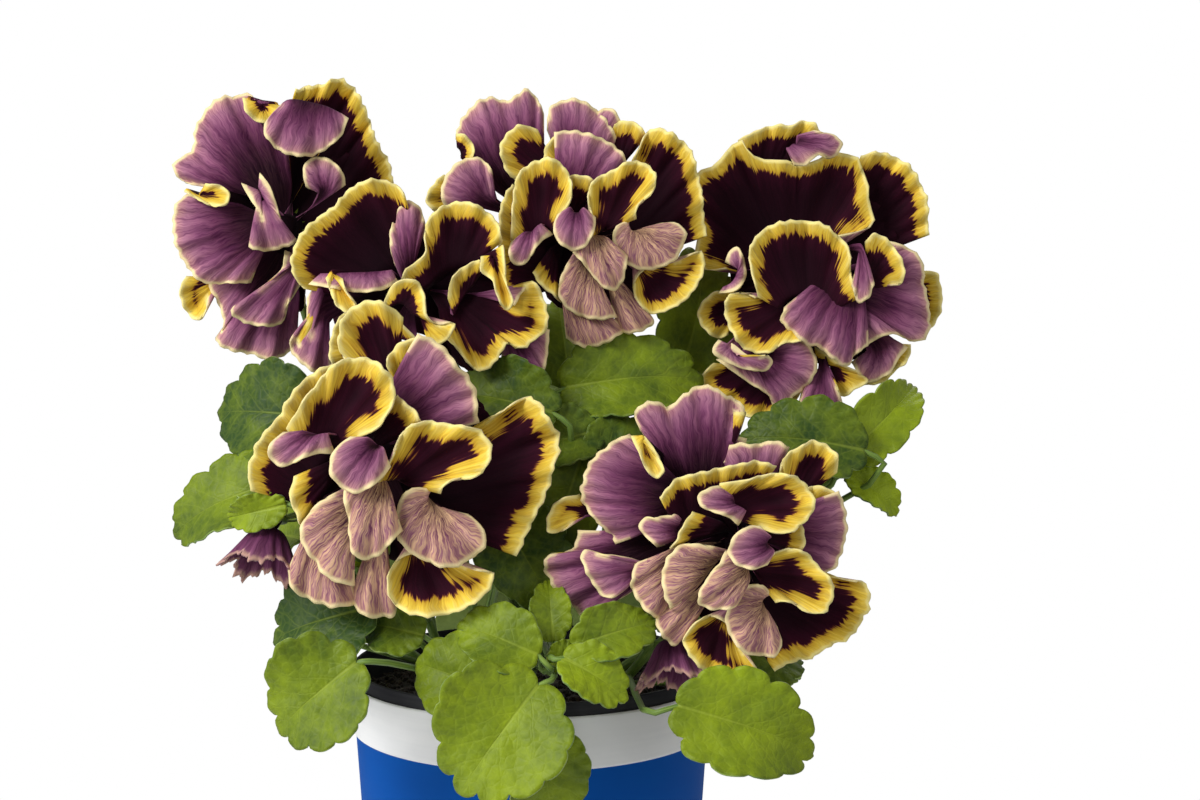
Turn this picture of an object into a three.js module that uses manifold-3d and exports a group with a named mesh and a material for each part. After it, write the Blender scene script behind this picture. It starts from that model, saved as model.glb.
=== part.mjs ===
// Potted pansy planter: six ruffled pansies, two half-open ones and their leafy stems, growing in a
// small plastic pot of compost. Millimetres, +Z up, origin at the centre of the pot's flat foot.
// The plant's best side looks along -Y.
import * as THREE from "three";
import { mergeVertices } from "three/addons/utils/BufferGeometryUtils.js";
import Module from "manifold-3d";

const wasm = await Module();
wasm.setup();

// Driving dimensions of the pot and its compost
const POT = {
  height: 98,
  footRadius: 50,
  bandRadius: 57, // at the top of the white band
  bandHeight: 16.5,
  lipHeight: 4, // the bare lip above the band
  lipInset: 1.2,
  bandStep: 0.9, // how far the band stands out from the body
  wall: 1.6,
  floor: 2.6,
  edge: 0.8, // small chamfers
  sides: 32,
};
const DRAIN = { count: 6, radius: 3.5, ring: 29, sides: 8 };
const SOIL = { top: 88, mound: 3, grain: 0.9, rings: 4, edgeBand: 3 };
const GAP = 0.3; // between pieces that touch

// Driving dimensions of the plant
const PETAL_THICKNESS = 0.8;
const LEAF_THICKNESS = 0.8;
const CORE = { back: -10, front: 4, radius: 8, frontRadius: 5, sides: 8 };
const CLAW = { start: -8, rise: 0.4, halfWidth: 2.2 };
const PETAL_GRID = { large: [3, 4], small: [2, 3], smallWidth: 24 };
const STEM = { radius: 1.9, sides: 6, sunk: 12, steps: 6, hole: 3.4 };
const PEDUNCLE = { radius: 1.3, sides: 4, steps: 7, crook: 8 };
const PETIOLE = { radius: 1, sides: 3 };
const RECEPTACLE = { length: 6, frontRadius: 4.6, backRadius: 1.8, sides: 7 };
const SEPAL = { count: 5, length: 11, notch: 4.8, back: 3.5 };
const LEAF = { small: 27, large: 42, teeth: 7, smallTeeth: 5 }; // lengths, and teeth round the edge

const degrees = (angle) => (angle * Math.PI) / 180;
const vector = (x, y, z) => new THREE.Vector3(x, y, z);

// Solids

function solidFrom(geometry) {
  const bare = geometry.clone();
  bare.deleteAttribute("normal");
  bare.deleteAttribute("uv");
  const merged = mergeVertices(bare, 1e-4);
  const index = Array.from(merged.index.array);
  const corners = [];
  for (let i = 0; i < index.length; i += 3) {
    const [a, b, c] = index.slice(i, i + 3);
    if (a !== b && b !== c && a !== c) corners.push(a, b, c);
  }
  const build = (triangles) =>
    new wasm.Manifold(
      new wasm.Mesh({
        numProp: 3,
        vertProperties: merged.attributes.position.array,
        triVerts: new Uint32Array(triangles),
      }),
    );
  const solid = build(corners);
  if (solid.volume() > 0) return solid;
  for (let i = 0; i < corners.length; i += 3)
    [corners[i + 1], corners[i + 2]] = [corners[i + 2], corners[i + 1]];
  return build(corners);
}

function meshFrom(solid, name, material) {
  const largest = solid
    .decompose()
    .reduce((best, body) => (body.volume() > best.volume() ? body : best));
  const { vertProperties, triVerts } = largest.getMesh();
  const geometry = new THREE.BufferGeometry();
  geometry.setAttribute("position", new THREE.BufferAttribute(vertProperties, 3));
  geometry.setIndex(new THREE.BufferAttribute(triVerts, 1));
  geometry.computeVertexNormals();
  const mesh = new THREE.Mesh(geometry, material);
  mesh.name = name;
  return mesh;
}

const fuse = (solids) => solids.reduce((whole, part) => whole.add(part));

// Joins two skins, one on each side of a surface, into a thin closed solid.
// Both skins are split along the same diagonals.
function thinSolid(points, normals, triangles, border, thickness) {
  const count = points.length;
  const position = [];
  for (const side of [0.5, -0.5])
    points.forEach((point, i) =>
      position.push(...point.clone().addScaledVector(normals[i], side * thickness)),
    );
  const index = [];
  for (const [a, b, c] of triangles) index.push(a, b, c, a + count, c + count, b + count);
  border.forEach((a, i) => {
    const b = border[(i + 1) % border.length];
    index.push(a, b, a + count, b, b + count, a + count);
  });
  const geometry = new THREE.BufferGeometry();
  geometry.setAttribute("position", new THREE.Float32BufferAttribute(position, 3));
  geometry.setIndex(index);
  return solidFrom(geometry);
}

function normalOf(surface, s, t) {
  const step = 0.01;
  const across = surface(s + step, t).sub(surface(s - step, t));
  const along = surface(s, t + step).sub(surface(s, t - step));
  return across.cross(along).normalize();
}

// A blade on a grid: surface(u, v) with u from root to rim and v from side to side.
function blade(surface, rows, columns, thickness) {
  const points = [];
  const normals = [];
  for (let row = 0; row <= rows; row++)
    for (let column = 0; column <= columns; column++) {
      const u = row / rows;
      const v = (2 * column) / columns - 1;
      points.push(surface(u, v));
      normals.push(normalOf(surface, u, v));
    }
  const at = (row, column) => row * (columns + 1) + column;
  const triangles = [];
  for (let row = 0; row < rows; row++)
    for (let column = 0; column < columns; column++) {
      const [a, b] = [at(row, column), at(row, column + 1)];
      const [c, d] = [at(row + 1, column), at(row + 1, column + 1)];
      triangles.push([a, c, b], [b, c, d]);
    }
  const border = [];
  for (let column = 0; column < columns; column++) border.push(at(0, column));
  for (let row = 0; row < rows; row++) border.push(at(row, columns));
  for (let column = columns; column > 0; column--) border.push(at(rows, column));
  for (let row = rows; row > 0; row--) border.push(at(row, 0));
  return thinSolid(points, normals, triangles, border, thickness);
}

// A blade on a wheel of spokes: surface(rho, theta) with rho from the middle to the edge.
function wheel(surface, rings, spokes, thickness) {
  const flat = (x, y) => surface(Math.hypot(x, y), Math.atan2(y, x));
  const points = [flat(0, 0)];
  const normals = [normalOf(flat, 0, 0)];
  for (let ring = 1; ring <= rings; ring++)
    for (let spoke = 0; spoke < spokes; spoke++) {
      const theta = (2 * Math.PI * spoke) / spokes;
      const rho = ring / rings;
      const [x, y] = [rho * Math.cos(theta), rho * Math.sin(theta)];
      points.push(flat(x, y));
      normals.push(normalOf(flat, x * 0.97, y * 0.97));
    }
  const at = (ring, spoke) => 1 + (ring - 1) * spokes + (spoke % spokes);
  const triangles = [];
  for (let spoke = 0; spoke < spokes; spoke++) {
    triangles.push([0, at(1, spoke), at(1, spoke + 1)]);
    for (let ring = 1; ring < rings; ring++) {
      const [a, b] = [at(ring, spoke), at(ring, spoke + 1)];
      const [c, d] = [at(ring + 1, spoke), at(ring + 1, spoke + 1)];
      triangles.push([a, c, d], [a, d, b]);
    }
  }
  const border = [];
  for (let spoke = 0; spoke < spokes; spoke++) border.push(at(rings, spokes - spoke));
  return thinSolid(points, normals, triangles, border, thickness);
}

function tube(points, radius, sides, steps) {
  const section = new THREE.Shape();
  for (let side = 0; side < sides; side++) {
    const turn = (2 * Math.PI * side) / sides;
    const [x, y] = [radius * Math.cos(turn), radius * Math.sin(turn)];
    if (side === 0) section.moveTo(x, y);
    else section.lineTo(x, y);
  }
  section.closePath();
  const extrudePath = new THREE.CatmullRomCurve3(points, false, "centripetal");
  return solidFrom(new THREE.ExtrudeGeometry(section, { steps, extrudePath, bevelEnabled: false }));
}

function lathe(profile, sides) {
  const points = profile.map(([radius, height]) => new THREE.Vector2(radius, height));
  return new THREE.LatheGeometry(points, sides).rotateX(Math.PI / 2);
}

function post(radius, low, high, sides, x = 0, y = 0) {
  const geometry = new THREE.CylinderGeometry(radius, radius, high - low, sides);
  geometry.rotateX(Math.PI / 2).translate(x, y, (low + high) / 2);
  return solidFrom(geometry);
}

// Frames: a piece faces an azimuth (0 towards -Y, 90 towards +X) and an elevation, and is rolled
// anticlockwise as seen from in front.
function frameOf(at, [azimuth, elevation], roll = 0) {
  const [az, el] = [degrees(azimuth), degrees(elevation)];
  const forward = vector(
    Math.sin(az) * Math.cos(el),
    -Math.cos(az) * Math.cos(el),
    Math.sin(el),
  );
  const level = vector(Math.cos(az), Math.sin(az), 0);
  const upright = forward.clone().cross(level);
  const turn = degrees(roll);
  const right = level
    .clone()
    .multiplyScalar(Math.cos(turn))
    .addScaledVector(upright, Math.sin(turn));
  const up = upright.multiplyScalar(Math.cos(turn)).addScaledVector(level, -Math.sin(turn));
  return { at: vector(...at), right, up, forward };
}

function placed({ at, right, up, forward }, [a, b, c]) {
  return at
    .clone()
    .addScaledVector(right, a)
    .addScaledVector(up, b)
    .addScaledVector(forward, c);
}

// The pot: one moulded piece, with a bare lip, a band that stands out a little, a tapered body and
// drain holes in its floor.
const potBodyTop = POT.height - POT.lipHeight - POT.bandHeight;
const potTaper = (POT.bandRadius - POT.bandStep - POT.footRadius) / (POT.height - POT.lipHeight);
const potInside = (z) => POT.footRadius - POT.wall + potTaper * z;

function pot() {
  const { height, footRadius, bandRadius, lipHeight, lipInset, wall, floor, edge } = POT;
  const bandTop = height - lipHeight;
  const bandFoot = bandRadius - potTaper * POT.bandHeight;
  const lip = bandRadius - lipInset;
  const shell = solidFrom(
    lathe(
      [
        [0, 0],
        [footRadius - edge, 0],
        [footRadius, edge],
        [footRadius + potTaper * potBodyTop, potBodyTop],
        [bandFoot, potBodyTop + edge / 2],
        [bandRadius - edge / 2, bandTop - edge / 2],
        [bandRadius - edge, bandTop],
        [lip, bandTop],
        [lip, height - edge / 2],
        [lip - edge / 2, height],
        [potInside(height), height],
        [potInside(floor), floor],
        [0, floor],
      ],
      POT.sides,
    ),
  );
  const holes = [];
  for (let i = 0; i < DRAIN.count; i++) {
    const turn = (2 * Math.PI * i) / DRAIN.count;
    const [x, y] = [DRAIN.ring * Math.cos(turn), DRAIN.ring * Math.sin(turn)];
    holes.push(post(DRAIN.radius, -1, floor + 1, DRAIN.sides, x, y));
  }
  return shell.subtract(fuse(holes));
}

// The compost: it fills the pot to just under the lip, crumbly on top, with a hole for each stem.
function soilTop(x, y) {
  const fall = (x * x + y * y) / (POT.bandRadius * POT.bandRadius);
  const grain = Math.sin(0.71 * x + 1.3) * Math.cos(0.63 * y) + Math.sin(0.37 * (x - y));
  return SOIL.top + SOIL.mound * (1 - fall) + SOIL.grain * grain * 0.5;
}

function soil(stemFeet) {
  const base = POT.floor + GAP;
  const reach = potInside(SOIL.top) - GAP - SOIL.edgeBand;
  const profile = [[0, base], [potInside(base) - GAP, base], [potInside(SOIL.top) - GAP, SOIL.top]];
  for (let ring = SOIL.rings; ring >= 0; ring--)
    profile.push([(reach * ring) / SOIL.rings, SOIL.top + 1]);
  const geometry = lathe(profile, POT.sides);
  const position = geometry.attributes.position;
  for (let i = 0; i < position.count; i++)
    if (position.getZ(i) > SOIL.top + 0.5)
      position.setZ(i, soilTop(position.getX(i), position.getY(i)));
  const holes = stemFeet.map(([x, y]) =>
    post(STEM.hole, SOIL.top - STEM.sunk - GAP, POT.height + 10, STEM.sides, x, y),
  );
  return solidFrom(geometry).subtract(fuse(holes));
}

// Petals. Each fold of a ruffled flower is one row, in millimetres about the flower's middle:
// [rim: right, up, forward], width, the side it shows to the viewer,
// [root, where it comes out from under its neighbours: right, up, and forward where that matters].
const FACE = 1;
const BACK = -1;

// The front of an open flower: dark cups, with tongues and fans of folded petal between them.
const ROSETTE = [
  [[32, -28, -2], 30, FACE, [6, -13]],
  [[21, 27, -3], 17, FACE, [13, 8]],
  [[29, 3, 1], 23, BACK, [12, 3]],
  [[-20, -28, 3], 15, BACK, [-10, -14]],
  [[-4, -39, 4], 20, FACE, [-8, -21]],
  [[-11, 18, 5], 27, FACE, [-7, 0]],
  [[-22, -9, 8], 18, BACK, [-8, -8]],
  [[3, -32, 8], 16, BACK, [2, -12]],
  [[24, -13, 10], 19, FACE, [1, -7]],
  [[17, 14, 11], 20, FACE, [-7, 10]],
];

const FLOWERS = [
  {
    name: "upper_left",
    at: [-74.5, -6, 234.8],
    faces: [4, 6],
    folds: [
      [[23, 37, -6], 44, FACE, [0, 2]],
      [[-14, -38, -4], 24, BACK, [-4, -16]],
      [[-25, 34, -2], 33, BACK, [-5, 10]],
      [[-33, -3, 1], 29, BACK, [-6, -2]],
      [[-14, -27, 5], 18, BACK, [3, -13]],
      [[6, 21, 9], 25, BACK, [8, 38, 3]],
    ],
  },
  {
    name: "middle_left",
    at: [-33.8, -24, 217.9],
    faces: [3, 8],
    folds: [
      [[37, -29, -4], 15, BACK, [28, -14]],
      [[-30, -24, -1], 15, BACK, [-25, -2]],
      [[14, 23, 2], 23, FACE, [8, 1]],
      [[-25, 24, 3], 35, FACE, [-8, 3]],
      [[37, -8, 0], 27, FACE, [10, -2]],
      [[19, -25, 3], 23, FACE, [10, -3]],
      [[-21, -14, 6], 20, FACE, [2, -11]],
    ],
  },
  {
    name: "top_centre",
    at: [13.7, -6, 232.3],
    faces: [0, 8],
    roll: 72,
    lobes: ROSETTE,
    folds: [
      [[-22, 43, -6], 29, BACK, [-15, 14]],
      [[4, 40, -5], 21, BACK, [0, 24]],
      [[-38, 14, -1], 16, BACK, [-24, 14]],
    ],
  },
  {
    name: "upper_right",
    at: [88.8, 0, 222.2],
    faces: [2, 6],
    folds: [
      [[31, 26, -7], 26, FACE, [12, 12]],
      [[-13, 42, -6], 14, FACE, [-12, 30]],
      [[-9, 39, -4], 52, FACE, [-7, 3]],
      [[15, 15, -2], 22, FACE, [2, 18]],
      [[37, -10, -3], 18, FACE, [25, -9]],
      [[14, -34, 0], 14, BACK, [20, -23]],
      [[-24, -43, -1], 24, FACE, [-11, -27]],
      [[27, 6, 4], 15, BACK, [18, -6]],
      [[32, -12, 6], 27, BACK, [9, -8]],
      [[-9, -39, 6], 20, BACK, [-8, -21]],
      [[4, -31, 9], 25, BACK, [5, -7]],
      [[-25, -20, 9], 20, FACE, [-6, -10]],
      [[-7, 11, 13], 30, FACE, [-4, -13]],
    ],
  },
  {
    name: "lower_left",
    at: [-45.1, -54, 169.3],
    faces: [-6, 4],
    roll: 43,
    scale: 1.25,
    lobes: ROSETTE,
    folds: [[[-33, -2, -3], 18, FACE, [-18, 2]]],
  },
  {
    name: "lower_right",
    at: [62.8, -54, 145.8],
    faces: [5, 2],
    lobes: ROSETTE,
    folds: [
      [[-51, -14, -5], 26, BACK, [-26, -2]],
      [[-11, 43, -5], 34, BACK, [-10, 17]],
      [[-45, 13, -2], 31, BACK, [-17, 11]],
      [[-40, -14, 2], 14, BACK, [-28, -4]],
    ],
  },
];

// Half-open flowers that nod on short stalks: their petals overlap in a bell with a lobed rim.
const BELL = { petals: 5, radius: 11, length: 15, from: -3, lobe: 0.22, rings: 3 };
const NODDING = [
  { name: "nodding_left", at: [-76, -46, 145], faces: [-20, -62], scale: 0.6 },
  { name: "nodding_right", at: [43, -47, 112], faces: [8, -66], scale: 0.6 },
];

// A fold's claw runs narrow from the flower's core to its root, then opens into a rounded blade
// that is cupped, bowed and ruffled more and more towards its rim.
function foldSurface(frame, [rim, width, side, root], order) {
  const tip = vector(...rim);
  const lift = side === FACE ? -6 : -1;
  const knee = vector(root[0], root[1], root[2] ?? rim[2] + lift);
  const base = vector(0, 0, CLAW.start + CLAW.rise * Math.max(0, rim[2]));
  const claw = knee.clone().sub(base);
  const span = tip.clone().sub(knee);
  const length = span.length();
  const share = THREE.MathUtils.clamp(claw.length() / (claw.length() + length), 0.15, 0.4);
  const along = span.clone().normalize();
  const out = vector(0, 0, 1).addScaledVector(along, -along.z).normalize();
  const across = along.clone().cross(out);
  const phase = 2.4 * order + 0.7 * side;
  const waves = 1 + width / 17;
  const ruffle = 0.055 * width + 0.9;
  const cup = side * (0.12 * width + 0.4);
  const bow = side * -0.1 * length;
  const flare = (side === FACE ? -0.06 : -0.12) * length;
  return (u, v) => {
    const first = THREE.MathUtils.smoothstep(u, 0, share);
    const t = THREE.MathUtils.clamp((u - 0.6 * share) / (1 - 0.6 * share), 0, 1.02);
    const run = t - t * t * (0.12 * v * v + 0.26 * v ** 4);
    const open = Math.min(t / 0.62, 1);
    const spread = open * (2 - open);
    const half = CLAW.halfWidth + ((1.06 * width) / 2 - CLAW.halfWidth) * spread;
    const height =
      bow * Math.sin(Math.PI * t) +
      cup * v * v * spread +
      flare * t ** 3 +
      ruffle * t * Math.sin(Math.PI * waves * v + phase) * (0.3 + 0.7 * v * v);
    const local = base
      .clone()
      .addScaledVector(claw, first)
      .addScaledVector(span, run)
      .addScaledVector(across, half * v)
      .addScaledVector(out, height);
    return placed(frame, local.toArray());
  };
}

function scaled(frame, scale) {
  return {
    at: frame.at,
    right: frame.right.clone().multiplyScalar(scale),
    up: frame.up.clone().multiplyScalar(scale),
    forward: frame.forward.clone().multiplyScalar(scale),
  };
}

function bloom({ at, faces, roll = 0, scale = 1, lobes = [], folds }) {
  const plain = frameOf(at, faces);
  const rolled = scaled(frameOf(at, faces, roll), scale);
  const petals = [];
  const add = (frame, fold, order) => {
    const [rows, columns] = fold[1] < PETAL_GRID.smallWidth ? PETAL_GRID.small : PETAL_GRID.large;
    petals.push(blade(foldSurface(frame, fold, order), rows, columns, PETAL_THICKNESS));
  };
  lobes.forEach((fold, i) => add(rolled, fold, i));
  folds.forEach((fold, i) => add(plain, fold, i + lobes.length));
  return fuse([core(plain, scale), ...petals]);
}

function bell({ at, faces, scale }) {
  const frame = frameOf(at, faces);
  const surface = (rho, theta) => {
    const lobed = 1 + BELL.lobe * rho * rho * Math.cos(BELL.petals * theta);
    const radius = BELL.radius * (0.75 * Math.sqrt(rho) + 0.25 * rho ** 4) * lobed;
    const height = BELL.from + BELL.length * rho * rho * (1 - 0.2 * rho) * lobed;
    return placed(frame, [radius * Math.cos(theta), radius * Math.sin(theta), height]);
  };
  const cup = wheel(surface, BELL.rings, 2 * BELL.petals, PETAL_THICKNESS);
  return core(frame, scale).add(cup);
}

function core(frame, scale) {
  const { back, front, radius, frontRadius, sides } = CORE;
  const length = (front - back) * scale;
  const cone = new THREE.CylinderGeometry(frontRadius * scale, radius * scale, length, sides);
  return inFrame(cone, frame, ((front + back) * scale) / 2);
}

// Turns a shape whose axis is Y so that its axis lies along the frame's forward direction.
function inFrame(geometry, frame, forward) {
  const turn = new THREE.Matrix4().makeBasis(
    frame.right,
    frame.forward,
    frame.up.clone().negate(),
  );
  const centre = placed(frame, [0, 0, forward]);
  return solidFrom(geometry.clone().applyMatrix4(turn).translate(...centre));
}

// The green cup behind a flower, its star of sepals, and the stalk that carries it.
function calyx({ at, faces, scale = 1 }) {
  const frame = frameOf(at, faces);
  const front = CORE.back * scale - GAP;
  const { length, frontRadius, backRadius, sides } = RECEPTACLE;
  const cup = new THREE.CylinderGeometry(frontRadius, backRadius, length, sides);
  const star = (rho, theta) => {
    const onPoint = Math.cos(SEPAL.count * theta) > 0;
    const radius = rho * (onPoint ? SEPAL.length : SEPAL.notch);
    const back = SEPAL.back * (radius / SEPAL.length) ** 2;
    return placed(frame, [radius * Math.cos(theta), radius * Math.sin(theta), front - 1 - back]);
  };
  return inFrame(cup, frame, front - length / 2).add(
    wheel(star, 1, 2 * SEPAL.count, LEAF_THICKNESS),
  );
}

function stalk({ at, faces, scale = 1 }, from, by) {
  const frame = frameOf(at, faces);
  const seatDepth = CORE.back * scale - RECEPTACLE.length;
  const crook = placed(frame, [0, -3, seatDepth - PEDUNCLE.crook * scale]);
  const seat = placed(frame, [0, 0, seatDepth + 1]);
  const points = [vector(...from), ...by.map((point) => vector(...point)), crook, seat];
  return tube(points, PEDUNCLE.radius, PEDUNCLE.sides, PEDUNCLE.steps);
}

// Leaves: [middle of the blade], [facing], clock angle of the tip, length, width.
// A pansy leaf is oval with rounded teeth, cupped along its midrib.
function leafFrame([at, faces, clock]) {
  return frameOf(at, faces, clock);
}

function leafSurface(leaf) {
  const frame = leafFrame(leaf);
  const [, , clock, length, width] = leaf;
  const teeth = length < LEAF.small ? LEAF.smallTeeth : LEAF.teeth;
  const droop = 0.16 * length;
  const cup = 0.13 * width;
  const phase = clock * 0.05 + length;
  return (rho, theta) => {
    const tooth = 1 + 0.05 * Math.max(rho * 3 - 2, 0) * (2 * Math.abs(Math.cos(0.5 * teeth * theta)) - 1);
    const x = rho * tooth * Math.cos(theta);
    const y = rho * tooth * Math.sin(theta) * (1 - 0.16 * Math.cos(theta));
    const wave = 0.035 * length * rho * rho * Math.sin(3 * theta + phase);
    return placed(frame, [
      (length / 2) * x,
      (width / 2) * y,
      cup * y * y - droop * x * x * (x > 0 ? 1 : 0.4) + wave,
    ]);
  };
}

function leaf(row, stemPoint) {
  const surface = leafSurface(row);
  const length = row[3];
  const frame = leafFrame(row);
  const teeth = length < LEAF.small ? LEAF.smallTeeth : LEAF.teeth;
  const rings = length < LEAF.large ? 1 : 2;
  const lamina = wheel(surface, rings, 2 * teeth, LEAF_THICKNESS);
  const end = surface(0.45, Math.PI).addScaledVector(frame.forward, -0.5);
  const neck = surface(1, Math.PI).addScaledVector(frame.forward, -0.5);
  const outer = neck.clone().addScaledVector(frame.right, -0.18 * length);
  outer.z -= 0.1 * length;
  const petiole = tube(
    [stemPoint, outer, neck, end],
    PETIOLE.radius,
    PETIOLE.sides,
    rings + 1,
  );
  return lamina.add(petiole);
}

// Leafy stems: each rises from the compost at its foot through its points, carries its leaves from
// the given share of its height, and may carry flowers on stalks.
const STEMS = [
  {
    name: "front_left",
    foot: [-18, -20],
    rise: [[-24, -27, 100], [-30, -33, 118]],
    leaves: [
      [0.45, [-61, -47, 121], [-20, 25], 200, 34, 32],
      [0.55, [-60, -72, 104.5], [-18, 12], 222, 33, 33],
      [0.8, [-40, -50, 119.5], [-10, 30], 170, 21, 17],
      [1, [-52, -38, 143], [-30, 40], 160, 24, 20],
      [1, [-79, -52, 154], [-15, 0], 195, 20, 11],
    ],
    flowers: [["lower_left", 0.9, [[-34, -24, 140]]]],
  },
  {
    name: "front_centre",
    foot: [0, -26],
    rise: [[1, -31, 106], [4, -40, 118]],
    leaves: [
      [0.5, [-21, -62, 108], [-15, 20], 165, 26, 25],
      [0.9, [-8, -66, 120], [-8, 30], 160, 26, 20],
      [1, [7, -56, 126], [0, 25], 95, 19, 12],
      [1, [12, -64, 114], [15, 30], 20, 12, 10],
      [0.95, [20, -71, 110], [15, 30], -38, 22, 17],
      [0.9, [26, -63, 121], [10, 30], 15, 26, 17],
      [0.5, [-7, -80, 95], [-6, 18], 235, 39, 40],
      [0.55, [6, -71, 80], [12, 0], -82, 30, 25],
    ],
    flowers: [],
  },
  {
    name: "front_right",
    foot: [20, -18],
    rise: [[28, -27, 98], [38, -36, 112]],
    leaves: [
      [0.65, [63.5, -70, 95], [12, 22], -20, 44, 31],
      [0.5, [72, -26, 108], [35, 30], 8, 30, 26],
      [1, [74, -31, 127], [40, 45], 20, 27, 23],
    ],
    flowers: [
      ["lower_right", 0.7, [[50, -26, 122]]],
      ["nodding_right", 0.9, [[36, -35, 124]]],
    ],
  },
  {
    name: "left",
    foot: [-27, -4],
    rise: [[-40, -8, 105], [-58, -10, 136]],
    leaves: [
      [1, [-81, -14, 178.5], [-25, 20], 180, 37, 31],
      [0.85, [-92, -24, 153], [-28, 30], 208, 43, 25],
      [0.6, [-80, 12, 136], [-70, 35], 190, 34, 30],
      [0.35, [-70, -8, 108], [-60, 35], 200, 32, 28],
    ],
    flowers: [
      ["upper_left", 0.7, [[-60, 8, 170], [-74, 18, 215]]],
      ["nodding_left", 0.9, [[-62, -24, 158]]],
    ],
  },
  {
    name: "middle",
    foot: [-6, -8],
    rise: [[-4, -10, 120], [6, -12, 158]],
    leaves: [
      [1, [31, -14, 189], [6, 30], 5, 44, 28],
      [0.95, [-9, -26, 184], [-12, 30], 170, 36, 25],
      [1, [10, 4, 199], [-5, 25], 100, 30, 24],
      [0.85, [10, -28, 172], [0, 35], 200, 24, 20],
      [0.8, [28, -26, 170], [10, 35], 20, 24, 20],
      [0.7, [11, -37, 154], [4, 22], 250, 34, 24],
      [0.5, [-1, -44, 140], [0, 30], -60, 34, 28],
    ],
    flowers: [["middle_left", 0.9, [[-20, 0, 185]]]],
  },
  {
    name: "right",
    foot: [26, 2],
    rise: [[42, -2, 106], [62, -6, 136]],
    leaves: [
      [1, [108, -12, 176], [20, 25], 38, 40, 18],
      [0.9, [83, -24, 171.5], [2, 30], 172, 38, 26],
      [0.8, [105, -18, 155], [25, 30], -42, 20, 13],
      [0.6, [84, 12, 128], [70, 35], 0, 36, 30],
      [0.35, [74, -4, 104], [60, 30], -10, 32, 28],
    ],
    flowers: [["upper_right", 0.8, [[78, 10, 175]]]],
  },
  {
    name: "back_left",
    foot: [-14, 20],
    rise: [[-20, 34, 108], [-26, 46, 140]],
    leaves: [
      [1, [-44, 52, 174], [200, 35], 70, 36, 30],
      [0.9, [-60, 42, 150], [235, 30], 20, 36, 30],
      [0.8, [-20, 66, 146], [185, 30], -80, 38, 32],
      [0.5, [-46, 56, 112], [215, 25], -60, 36, 32],
      [0.3, [-18, 66, 98], [190, 15], -80, 36, 34],
    ],
    flowers: [],
  },
  {
    name: "back_right",
    foot: [12, 20],
    rise: [[20, 32, 112], [26, 40, 158]],
    leaves: [
      [1, [50, 40, 184], [150, 40], 120, 34, 30],
      [0.95, [52, 14, 208], [15, 15], 75, 42, 27],
      [0.85, [17, 56, 172], [170, 35], -85, 34, 28],
      [0.8, [62, 46, 152], [140, 30], 200, 38, 32],
      [0.45, [48, 60, 116], [150, 25], -110, 38, 34],
      [0.3, [20, 68, 104], [175, 15], -90, 36, 32],
    ],
    flowers: [["top_centre", 1, [[22, 30, 200]]]],
  },
];

function leafyStem({ foot, rise, leaves, flowers }) {
  const [x, y] = foot;
  const points = [
    vector(x, y, SOIL.top - STEM.sunk),
    vector(x, y, SOIL.top + 4),
    ...rise.map((point) => vector(...point)),
  ];
  const line = new THREE.CatmullRomCurve3(points, false, "centripetal");
  const parts = [tube(points, STEM.radius, STEM.sides, STEM.steps)];
  const from = (share) => line.getPoint(0.25 + 0.74 * share);
  for (const [share, ...row] of leaves) parts.push(leaf(row, from(share)));
  for (const [name, share, by] of flowers) {
    const flower = [...FLOWERS, ...NODDING].find((one) => one.name === name);
    parts.push(calyx(flower), stalk(flower, from(share).toArray(), by));
  }
  return fuse(parts);
}

const finish = (color, roughness) =>
  new THREE.MeshStandardMaterial({ color, roughness, metalness: 0 });
const MATERIALS = {
  pot: finish(0x0b4a94, 0.45),
  soil: finish(0x2a1d16, 0.95),
  petal: finish(0x6a3a6c, 0.7),
  leaf: finish(0x5d7d2c, 0.6),
};

const planter = new THREE.Group();
planter.name = "potted_pansy_planter";
planter.add(meshFrom(pot(), "pot", MATERIALS.pot));
planter.add(meshFrom(soil(STEMS.map(({ foot }) => foot)), "compost", MATERIALS.soil));
for (const stem of STEMS)
  planter.add(meshFrom(leafyStem(stem), `leafy_stem_${stem.name}`, MATERIALS.leaf));
for (const flower of FLOWERS)
  planter.add(meshFrom(bloom(flower), `petals_${flower.name}`, MATERIALS.petal));
for (const flower of NODDING)
  planter.add(meshFrom(bell(flower), `petals_${flower.name}`, MATERIALS.petal));

export default planter;
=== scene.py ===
# Potted pansy: six ruffled pansies, two half-open ones and their leafy stems, growing in a small
# plastic pot of compost. Sizes are in millimetres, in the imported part's frame, and each mesh is
# brought to metres as it is made.
import math

import bmesh
import bpy
import numpy as np
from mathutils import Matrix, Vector


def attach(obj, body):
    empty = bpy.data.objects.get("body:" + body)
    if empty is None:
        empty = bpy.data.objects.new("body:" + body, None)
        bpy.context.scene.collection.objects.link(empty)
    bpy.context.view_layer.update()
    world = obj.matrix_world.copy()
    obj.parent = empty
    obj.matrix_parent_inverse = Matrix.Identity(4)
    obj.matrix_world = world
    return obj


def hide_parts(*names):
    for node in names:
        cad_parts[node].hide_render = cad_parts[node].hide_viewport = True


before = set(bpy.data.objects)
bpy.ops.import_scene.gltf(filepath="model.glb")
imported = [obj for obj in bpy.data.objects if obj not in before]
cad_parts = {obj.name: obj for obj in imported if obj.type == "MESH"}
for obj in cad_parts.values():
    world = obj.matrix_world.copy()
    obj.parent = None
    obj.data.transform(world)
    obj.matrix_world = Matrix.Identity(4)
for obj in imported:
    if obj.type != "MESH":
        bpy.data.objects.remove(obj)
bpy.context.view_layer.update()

# The pot
# One thin moulding of polypropylene, black where it is bare, with a plain pale band and a plain blue
# skin below it, both laid on in the mould. It stands on its flat foot, with six drain holes through it.

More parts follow.
